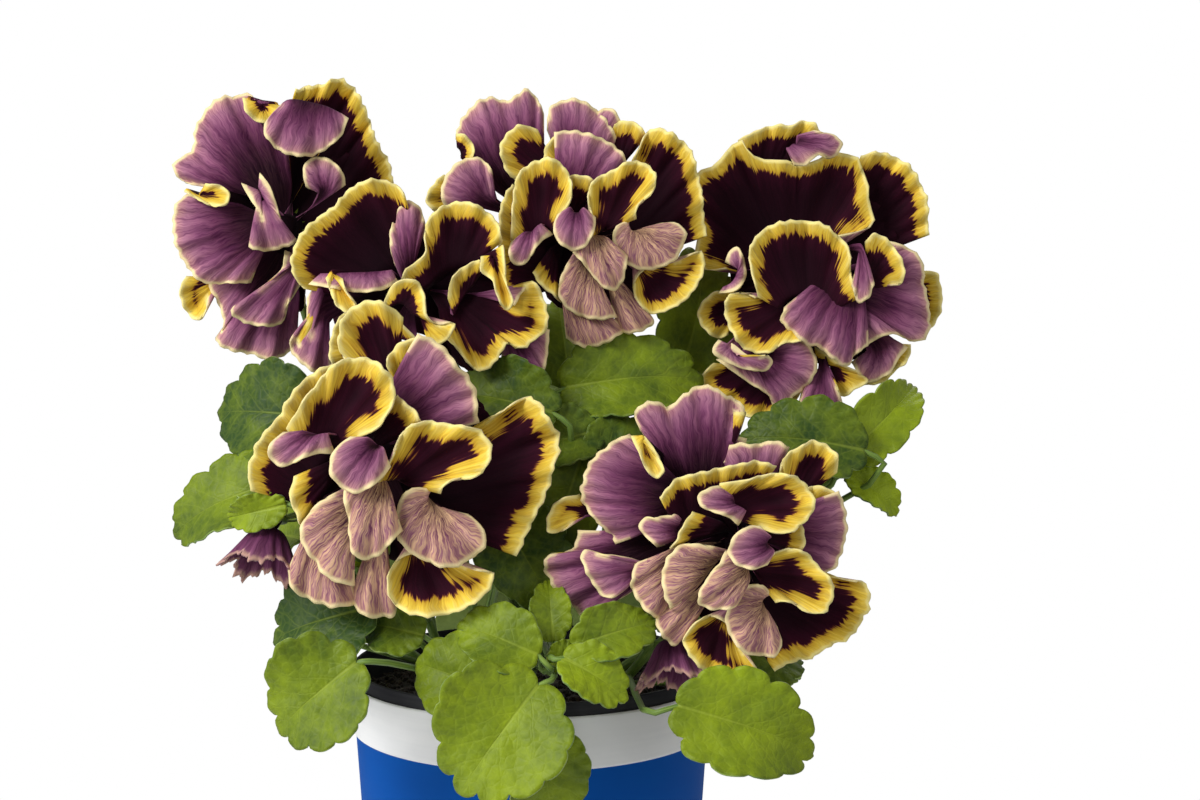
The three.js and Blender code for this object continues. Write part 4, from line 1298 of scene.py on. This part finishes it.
OWN_FOLDS = {
    "upper_left": [
        (FACE, -6, (2, 2), [
            (3, 41), (7, 42.5), (12, 43), (16, 44.6), (20, 42.5), (23, 38), (25, 33), (26.3, 28.5),
            (28.5, 23.5), (31, 19.5), (32, 15), (32.5, 10),
        ]),
        (BACK, -4, (-4, -16), [
            (-23.5, -17.5), (-21, -22), (-19, -27), (-19, -31), (-21.5, -34), (-18, -37), (-14, -38),
            (-9, -39), (-6, -40.5), (-1, -39), (3, -36),
        ]),
        (FACE, -4, (-21, -17), [
            (-30, -15.2), (-31.6, -19), (-31, -23.5), (-28.7, -27.2), (-26, -28.2), (-24, -25),
            (-23.5, -21),
        ]),
        (BACK, -2, [(4, 12), (-4, 6), (-12, 9)], [
            (0, 29), (-3, 32), (-7, 35.5), (-11, 40), (-14, 39), (-17.5, 39), (-21, 37.3), (-24.5, 33.5),
            (-26.8, 28.5), (-27, 24), (-30.5, 20.5), (-33.3, 18.5), (-32.3, 15.3), (-29.5, 13),
            (-25, 12.1), (-19, 11.5),
        ]),
        (FACE, 3, [(-1.5, 37), (-6, 39), (-11.2, 39.5)], [
            (-11.7, 38.5), (-11, 35), (-8.5, 32.2), (-5.5, 31.3), (-3, 32.6), (-1, 36),
        ]),
        (BACK, 1, [(-12, 8), (-5, 0), (-5, -8)], [
            (-29, 9.5), (-32, 6.5), (-33.2, 2), (-33, -3), (-31.5, -8), (-28.5, -13), (-25, -16.6),
            (-20, -17.2), (-15, -17.1), (-10.3, -16.8),
        ]),
        (FACE, 4, (-27, 9.5), [
            (-30, 9.8), (-24, 6.6), (-20.3, 5.6), (-17.6, 6.7), (-17, 9), (-18.8, 11.3), (-24, 12.1),
        ]),
        (BACK, 5, (3, -13), [
            (0.5, -8), (-0.5, -13), (-5, -17.5), (-10, -21.5), (-15.8, -25.8), (-12.5, -28.8), (-6, -30.2),
            (-1, -29.2), (1, -24), (4.5, -18),
        ]),
        (BACK, 8, (-7, 9), [
            (-12.3, 12), (-9, 6.5), (-6.5, 2), (-7.5, -2.5), (-10.3, -6.3), (-6, -7.4), (0, -6.3),
            (3.5, -4.8), (0, -1), (-2.5, 6), (-4.5, 11.5), (-6.8, 14.8),
        ]),
        (BACK, 9, [(19, 33), (13, 39), (5, 41), (-2, 37)], [
            (19.5, 32), (17, 26.5), (12.5, 22.8), (7, 20.9), (1, 21.8), (-3.5, 25), (-5.3, 28.5), (-4, 32),
            (-1, 35.5),
        ]),
        (BACK, 5, (12.5, 10), [
            (18, 11.5), (17.5, 14.8), (15, 18), (11, 19.7), (8, 19), (6.2, 16), (7, 11),
        ]),
    ],
    "middle_left": [
        (BACK, -4, (30, -15), [
            (39.5, -13), (39, -20), (38, -26), (37, -31), (33, -28), (29, -24.5), (25.5, -21.5),
        ]),
        (BACK, -1, (-27, -3), [
            (-32, -3), (-32, -9), (-31, -15), (-32.5, -18.5), (-36, -14.5), (-37, -18), (-33.5, -22.5),
            (-29, -25.5), (-25, -25),
        ]),
        (BACK, -1, (-2, 4), [
            (-6.8, 8), (-7.2, 15), (-5.7, 20.5), (-3, 24.2), (-0.5, 24.2), (1.7, 22), (3, 17),
        ]),
        (FACE, 2, (9, 3), [
            (-4, 0.5), (-2.5, 4), (1, 6.7), (3.3, 9), (3, 14), (4, 18.5), (7.5, 22), (12, 24), (17, 23.5),
            (21.5, 21), (24.5, 17.5), (25.5, 12.5),
        ]),
        (FACE, 3, (-9, 5), [
            (-2.5, 26), (-5, 29), (-10, 30.7), (-15, 30), (-19.5, 27.5), (-23, 23), (-27, 20.5), (-31, 17),
            (-34.5, 12.5), (-36, 7), (-35, 2), (-32.5, -1),
        ]),
        (FACE, 1, (14, -5), [(9.8, -4.5), (10.5, 0), (13.5, 4), (18, 6.5), (22.5, 8)]),
        (FACE, 2, (14, -5), [
            (29, -6), (31.5, -2), (34.5, 0.8), (37.5, -4), (38.8, -9), (38, -14), (35, -16), (32.5, -18.3),
            (29.5, -18.7), (27, -17), (25, -20), (22, -24), (18.5, -25.3), (15.5, -23), (11.5, -18),
            (8, -14.5),
        ]),
        (FACE, 6, (-7, -18), [
            (1.5, -17), (-3.5, -12.5), (-8.5, -7.8), (-13, -6.3), (-18.5, -7.3), (-22, -11),
            (-24.3, -16.5), (-24.5, -22), (-22, -26),
        ]),
        (BACK, 8, [(-29, 4), (-17, 4.5), (-5, 4.5)], [
            (-31, 0.5), (-26, -0.5), (-20, -1.5), (-14, -2), (-9, -1), (-5, 1),
        ]),
        (FACE, 10, (-24, 3), [
            (-26, 2), (-24.5, -2.5), (-22.5, -6.5), (-19, -8.3), (-17.5, -6), (-20, -2.5), (-21.5, 2),
        ]),
        (FACE, 8, (23.5, 8), [
            (20, 8), (19.8, 4), (22.8, 1.5), (24.2, -3), (26.8, -7.3), (28.8, -5.5), (27, 0), (26.5, 6),
            (26, 11),
        ]),
        (FACE, 9, (-2, -8), [
            (-8.8, -5.8), (-6.5, -1.2), (-3.5, 0.4), (0.5, 0), (2.4, -4), (3, -9.5), (6, -12), (11, -11.8),
            (10, -15), (7, -17.5), (3.5, -16.5),
        ]),
    ],
    "top_centre": [
        (BACK, -6, (-17, 16), [
            (-36.5, 29.5), (-34.5, 35.5), (-31, 39.4), (-26.5, 41.8), (-20, 41), (-15, 44.3), (-12, 42),
            (-9.8, 37),
        ]),
        (BACK, -5, (0, 24), [
            (-8.5, 32), (-7.5, 38.5), (-3.5, 40.8), (1, 40.8), (6, 38), (10, 33.5), (13, 28),
        ]),
        (BACK, -6, (7, 30), [(6.5, 37), (9, 38.5), (12, 37.3), (13.5, 34)]),
        (FACE, -6, (-32, 12), [(-40, 18.5), (-43.3, 15), (-45, 10.5), (-43.5, 8), (-41, 7)]),
        (FACE, -5, (14, 24), [(11, 33), (14, 34.3), (18.5, 33.5), (21.5, 30)]),
        (FACE, -2, (-35.5, 25), [(-36.5, 30.3), (-33.5, 29.3), (-31.2, 25.5), (-32.5, 22)]),
        (BACK, -1, (-27, 10), [
            (-25, 13), (-25.7, 19.5), (-30, 22.8), (-35, 21.3), (-39, 17), (-40.3, 12), (-39, 8),
        ]),
    ],
    "upper_right": [
        (FACE, -7, (14, 11), [
            (14, 33.5), (17, 34.5), (22, 34), (27, 31.5), (31, 27), (33.5, 21), (34.3, 14), (34.5, 9.2),
        ]),
        (FACE, -7, (-14, 31), [
            (-24, 38.5), (-20, 40.5), (-15, 42.5), (-11, 43), (-8, 42.6), (-5, 44.2), (-1, 43.6), (1, 41),
        ]),
        (FACE, -4, (-8, 2), [
            (-28, -1), (-34.5, -1.2), (-37.3, 3), (-36.4, 7.5), (-36.5, 11.5), (-38.6, 17), (-39.3, 23.5),
            (-36.5, 28), (-31.5, 30), (-28.5, 34.5), (-24, 38.5), (-21, 34), (-17, 32), (-10, 32),
            (-4, 30.7), (0, 31.5), (4, 34), (9, 34), (12.5, 32.5), (14.5, 26), (15.5, 19), (17.3, 13),
            (13, 10.5), (6, 8.5),
        ]),
        (BACK, 0, (-8, 38), [
            (-2, 41.3), (3.5, 40), (6.3, 37.5), (5.5, 35), (2.5, 33), (-0.5, 34), (-3, 32.5), (-4.5, 31),
            (-8, 31.5),
        ]),
        (FACE, -3, (27, -10), [
            (31.5, -2), (35.5, -2.5), (37.5, -7), (37.3, -13), (35.5, -18), (33, -20.5),
        ]),
        (FACE, -3, (17, -27), [(28.5, -24.5), (27, -29), (23.5, -32), (20, -35.5), (14, -36.5)]),
        (BACK, 0, (19, -25), [
            (27, -25), (24, -28.5), (22, -32), (18.5, -34.5), (15, -35.5), (12, -33), (10.5, -29.5),
        ]),
        (FACE, 1, (2, -31), [
            (4, -38), (7, -40), (10, -38), (14, -35.5), (10.5, -32.5), (6, -30.5), (2, -27.5), (-1, -25.5),
        ]),
        (FACE, -1, (-14, -33), [
            (-32, -30), (-35, -33), (-35.5, -37), (-32, -40), (-27, -42.5), (-23, -45.5), (-18, -46.5),
            (-13, -45), (-10, -43.5), (-7, -41), (-5, -38),
        ]),
        (BACK, 4, (1, -31), [
            (-5, -37), (-6.5, -42), (-5, -46), (-1.5, -47.5), (2.5, -46.5), (5.5, -46.5), (6.3, -43),
            (5, -38), (3, -34),
        ]),
        (FACE, 2, (-26, -13), [
            (-27, -7.5), (-32, -8.5), (-36, -12), (-37, -16), (-34.5, -20), (-31, -22), (-28, -21),
        ]),
        (BACK, 6, [(13, 2), (8, -6), (8, -16)], [
            (19, 6.8), (24, 5.7), (28.5, 3), (30.6, -1), (31, -6), (32, -12), (33, -17), (31, -22.5),
            (27, -23), (22, -21), (17, -22), (13.5, -24.5),
        ]),
        (BACK, 6, (-20, -28), [
            (-13, -24), (-7.5, -23), (-3.5, -26), (-2.2, -31), (-5, -36.5), (-9.5, -40), (-12.5, -43),
            (-15, -42.5), (-16, -40), (-21, -36.5), (-26, -33), (-31.5, -29),
        ]),
        (BACK, 9, (6, -8), [
            (-11, -12.5), (-12.3, -16.5), (-8.5, -20.5), (-4.5, -24), (-1, -24.5), (3, -28), (7.5, -30.5),
            (10.5, -26.5), (14, -24),
        ]),
        (FACE, 9, (-8, -12), [
            (-20, -10), (-24, -8.7), (-28.5, -9.5), (-29.3, -14), (-27.5, -20), (-24.5, -24.5),
            (-20, -26.5), (-15, -26), (-12.5, -24), (-7, -23), (-4, -22),
        ]),
        (BACK, 11, (-28, -27), [
            (-28, -24.5), (-23, -28), (-17.5, -27.8), (-16.3, -30), (-18.5, -32), (-24, -31.5),
            (-29, -29.5), (-33.5, -26.5), (-31.5, -23.5),
        ]),
        (BACK, 8, (-27, -4), [
            (-29, 0.5), (-28, 3.5), (-26, 4.5), (-24.5, 1), (-24, -4), (-26.5, -7.5), (-31, -8.5),
        ]),
        (FACE, 12, (15, -4), [
            (12.8, 6), (14.5, 8.3), (18.5, 7), (22, 2.5), (23.8, -2.5), (23, -6.3), (20.5, -6.5),
        ]),
        (FACE, 13, (-5, -12), [
            (-19.5, -10.5), (-21.3, -5), (-22.2, 0), (-22.5, 4), (-20, 8), (-16, 11), (-11, 12.2),
            (-5, 12.2), (0, 11), (3, 8.5), (5.5, 6.5), (7.2, 3), (7.7, -2), (8.7, -7), (11, -10.3),
        ]),
        (BACK, 15, (10.8, 5), [(8.3, -6), (9.5, -10), (11, -11.2), (13, -9.5), (14.3, -6), (14, -2)]),
    ],
    "lower_left": [],
    "lower_right": [
        (FACE, -6, (-44, 8), [
            (-46.5, 13), (-51, 12.5), (-54.5, 9.5), (-56, 6), (-55.5, 3), (-52, 2.8), (-48.5, 5),
        ]),
        (BACK, -5, (-26, -3), [
            (-46.5, 3), (-48, -2), (-51, -4), (-55, -3.8), (-56.7, -7), (-54.5, -12.5), (-51, -17),
            (-46, -21.5), (-43, -22.3), (-39.5, -19), (-34, -17),
        ]),
        (BACK, -5, [(-22, 18), (-10, 14), (0, 17)], [
            (-28.5, 31), (-30.3, 36), (-28.5, 39), (-24, 39.5), (-20.8, 37.8), (-17.5, 40.8), (-13, 43.4),
            (-8.5, 43.9), (-4, 41), (-0.5, 39.5), (1.5, 36), (-2, 36.5), (-3, 33), (-1.5, 29.5), (2, 28.5),
        ]),
        (BACK, -3, (3, 15), [(-6, 25.5), (-1, 27.5), (5, 27), (10, 28), (14, 26)]),
        (BACK, -2, [(-20, 22), (-14, 12), (-22, 3)], [
            (-32, 30.5), (-37.5, 28.3), (-42, 24.4), (-45, 19.4), (-46, 15), (-45.3, 11), (-42.5, 7),
            (-38.5, 2.8), (-35.8, -0.7),
        ]),
        (FACE, 4, (-29.5, 30), [
            (-32.3, 31), (-30.3, 26), (-27.8, 21), (-25.3, 19.7), (-24, 22), (-26, 27), (-28.8, 31),
        ]),
        (BACK, 2, (-29, -7), [
            (-31, -5), (-35, -4), (-41, -3), (-46, -2.3), (-46, -6), (-43, -11.5), (-40, -15.2),
            (-36, -14.5), (-33, -12.5),
        ]),
        (BACK, 1, (-18, 4), [
            (-20, 12), (-20, 8.5), (-24, 7.3), (-28, 7), (-29.5, 4.5), (-27.5, 1.5), (-24, -1.5),
        ]),
    ],
}
HAS_ROSETTE = ("top_centre", "lower_left", "lower_right")
PETALS = (
    petal_tissue(
        "petal_face",
        rim=(250, 234, 150),
        zones=[
            (0, (250, 226, 116)),
            (2.4, (244, 210, 72)),
            (3.9, (222, 178, 54)),
            (4.3, (128, 66, 44)),
            (4.7, (54, 10, 30)),
            (10, (36, 6, 20)),
            (24, (22, 3, 12)),
        ],
        spikes=6.5,
        drift=3,
        streaked=0.4,
    ),
    petal_tissue(
        "petal_back",
        rim=(246, 226, 172),
        zones=[
            (0, (232, 190, 164)),
            (1.6, (204, 150, 154)),
            (3.5, (176, 120, 144)),
            (7, (152, 92, 126)),
            (12, (112, 54, 92)),
            (18, (72, 24, 58)),
            (24, (46, 12, 38)),
        ],
        spikes=1.2,
        drift=5,
        streaked=0.85,
        tanned=(238, 200, 146),
    ),
    plain_tissue("petal_edge", (240, 218, 130), (250, 238, 186), roughness=0.6),
)


def broad_petals(folds):
    """The broad petals behind the folds, a little shorter than the folds reach on every side."""
    reached = np.array([point for fold in folds for point in fold[3]])
    turns = np.arctan2(reached[:, 1], reached[:, 0])
    petals = []
    for i in range(BROAD_PETALS):
        rim, root = [], []
        for share in np.linspace(-1, 1, BROAD_POINTS):
            turn = 2 * math.pi * (i + BROAD_TURN + BROAD_SPREAD * share) / BROAD_PETALS
            near = np.cos(turns - turn) > math.cos(BROAD_REACH)
            reach = np.linalg.norm(reached[near], axis=1).max() if near.any() else 0
            reach = max(BROAD_LEAST, BROAD_SHARE * reach) * (1 - BROAD_SIDE_FALL * share**4)
            across, up = math.cos(turn), math.sin(turn)
            rim.append((reach * across, reach * up))
            root.append((BROAD_ROOT * across, BROAD_ROOT * up, BROAD_FORWARD + BROAD_ROOT_RISE))
        petals.append((FACE, BROAD_FORWARD - i % 2, root, rim))
    return petals


def make_flower(name):
    spot = FLOWER_PLACES[name]
    scale = spot.get("scale", 1)
    plain = facing(spot["at"], spot["faces"])
    rolled = facing(spot["at"], spot["faces"], spot.get("roll", 0), scale)
    front = ROSETTE if name in HAS_ROSETTE else []
    skin = Skin()
    add_core(skin, plain, scale, FACE_SKIN)
    for order, fold in enumerate(broad_petals(front or OWN_FOLDS[name])):
        # The broad petals are coloured deeper than their rim gives, without the yellow margin: painted shade
        # behind the folds.
        add_fold(skin, rolled if front else plain, fold, order, 0, BROAD_BOW, BROAD_SHADED_DEEPER)
    for order, fold in enumerate(OWN_FOLDS[name]):
        add_fold(skin, plain, fold, order + BROAD_PETALS, LILAC_TONE)
    for order, fold in enumerate(front):
        tanned = fold[0] == BACK and fold[3][0][1] < TANNED_BELOW
        add_fold(skin, rolled, fold, order + FRONT_ORDER, TANNED_TONE if tanned else LILAC_TONE)
    return skin.finish("flower_" + name, PETALS)


for name in OWN_FOLDS:
    made = make_flower(name)
    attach(made, "root")
    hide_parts("petals_" + name)

# The nodding flowers
# Two flowers that are only half open hang from short crooked stalks. Their five petals still overlap
# in a bell, purple outside, with a ragged cream rim.

BUD_SKIN, BUD_RIM = range(2)
BUD_TONE = 0.1
BELL_RADIUS = 11
BELL_LENGTH = 15
BELL_FROM = -3
BELL_RINGS = 24
BELL_SPOKES = 120
BELL_SHOULDER = 0.75
BELL_MOUTH = 0.25
BELL_DRAWN_IN = 0.2
BELL_LOBES = 5
LOBE_DEPTH = 0.13
PLEATS = 15
PLEAT_DEPTH = 0.05
COARSE_RAGS = 23
COARSE_RAG_DEPTH = 0.06
FINE_RAGS = 41
FINE_RAG_DEPTH = 0.04
BUDS = (
    petal_tissue(
        "bud_skin",
        rim=(190, 150, 136),
        zones=[
            (0, (160, 108, 130)),
            (2, (130, 76, 108)),
            (6, (102, 50, 84)),
            (12, (68, 28, 56)),
            (24, (44, 14, 34)),
        ],
        spikes=1.2,
        drift=4,
        streaked=0.8,
    ),
    plain_tissue("bud_edge", (122, 72, 92), (206, 166, 148), roughness=0.6),
)


def make_bell(name):
    spot = FLOWER_PLACES[name]
    where = facing(spot["at"], spot["faces"])
    skin = Skin()
    add_core(skin, where, spot["scale"], BUD_SKIN)
    rho, theta = wheel_places(BELL_RINGS, BELL_SPOKES)
    pleat = PLEAT_DEPTH * rho * np.sin(PLEATS * theta)
    ragged = COARSE_RAG_DEPTH * rho**8 * np.sin(COARSE_RAGS * theta + 1)
    ragged = ragged + FINE_RAG_DEPTH * rho**8 * np.sin(FINE_RAGS * theta)
    lobed = 1 + LOBE_DEPTH * rho**2 * np.cos(BELL_LOBES * theta) + ragged
    radius = BELL_RADIUS * (BELL_SHOULDER * np.sqrt(rho) + BELL_MOUTH * rho**4) * (lobed + pleat)
    depth = BELL_FROM + BELL_LENGTH * rho**2 * (1 - BELL_DRAWN_IN * rho) * lobed
    points = placed(where, np.stack((radius * np.cos(theta), radius * np.sin(theta), depth), -1))
    places = np.stack((theta * BELL_RADIUS, (1 - rho) * BELL_LENGTH), -1)
    faces, border = wheel_faces(BELL_RINGS, BELL_SPOKES)
    skin.blade(points, faces, border, places, PETAL_THICKNESS, BUD_TONE, BUD_SKIN, BUD_SKIN, BUD_RIM)
    return skin.finish("flower_" + name, BUDS)


for name in ("nodding_left", "nodding_right"):
    made = make_bell(name)
    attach(made, "root")
    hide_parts("petals_" + name)

# The floor, the light and the camera
# A plain pale floor under soft studio light, seen from a little above, with the pot's foot below the
# picture.

FLOOR_RADIUS = 170
FLOOR_THICKNESS = 6
FLOOR_EDGE = 1
FLOOR_SIDES = 128
CAMERA_TARGET = (21.3, 0, 180.4)
CAMERA_DISTANCE = 800
CAMERA_ELEVATION = 7
CAMERA_SENSOR = 36
CAMERA_VIEW_WIDTH = 370.8
CAMERA_NEAR = 10
SKY_STRENGTH = 0.34
# Each lamp: its place and its size in metres, and its power in watts.
LAMPS = {
    "key": [(-1.0, -0.9, 1.1), 0.7, 21.5],
    "fill": [(1.0, -0.9, 0.5), 1.0, 2.8],
    "side": [(-0.9, -0.5, 0.05), 0.4, 3],
    "back": [(0.3, 1.2, 1.0), 0.9, 4],
}


def make_floor():
    inner = FLOOR_RADIUS - FLOOR_EDGE
    profile = [
        (0, -FLOOR_THICKNESS),
        (inner, -FLOOR_THICKNESS),
        (FLOOR_RADIUS, FLOOR_EDGE - FLOOR_THICKNESS),
        (FLOOR_RADIUS, -FLOOR_EDGE),
        (inner, 0),
        (0, 0),
    ]
    floor = piece("floor", *turned(profile, FLOOR_SIDES))
    material, tree, shader = new_finish("pale_floor", 0.9)
    shades = [(0.3, colour(244, 244, 243)), (0.7, colour(250, 250, 250))]
    paint(tree, shader, ramp(tree, noise(tree, object_place(tree), scale=3, detail=2), shades))
    floor.data.materials.append(material)


def add_lamp(name, place, size, power):
    """A square soft box that points at the plant."""
    lamp = bpy.data.lights.new(name, "AREA")
    lamp.size = size
    lamp.energy = power
    made = bpy.data.objects.new(name, lamp)
    made.location = place
    made.rotation_euler = (Vector(place) - Vector(CAMERA_TARGET) * METRES).to_track_quat("Z", "Y").to_euler()
    bpy.context.scene.collection.objects.link(made)


def set_camera():
    tilt = math.radians(CAMERA_ELEVATION)
    lens = bpy.data.cameras.new("camera")
    lens.sensor_width = CAMERA_SENSOR
    lens.lens = CAMERA_SENSOR * CAMERA_DISTANCE / CAMERA_VIEW_WIDTH
    lens.clip_start = CAMERA_NEAR * METRES
    camera = bpy.data.objects.new("camera", lens)
    x, y, z = CAMERA_TARGET
    camera.location = (
        x * METRES,
        (y - CAMERA_DISTANCE * math.cos(tilt)) * METRES,
        (z + CAMERA_DISTANCE * math.sin(tilt)) * METRES,
    )
    camera.rotation_euler = (math.pi / 2 - tilt, 0, 0)
    bpy.context.scene.collection.objects.link(camera)
    bpy.context.scene.camera = camera


def set_sky():
    """A white sky: full white to the camera, and softer as light."""
    world = bpy.data.worlds.new("studio")
    world.use_nodes = True
    tree = world.node_tree
    seen = add(tree, "ShaderNodeLightPath").outputs["Is Camera Ray"]
    sky = tree.nodes["Background"]
    sky.inputs["Color"].default_value = (1, 1, 1, 1)
    tree.links.new(remap(tree, seen, To_Min=SKY_STRENGTH, To_Max=1), sky.inputs["Strength"])
    bpy.context.scene.world = world
    bpy.context.scene.view_settings.view_transform = "Standard"


make_floor()
set_sky()
for name, lamp in LAMPS.items():
    add_lamp(name, *lamp)
set_camera()
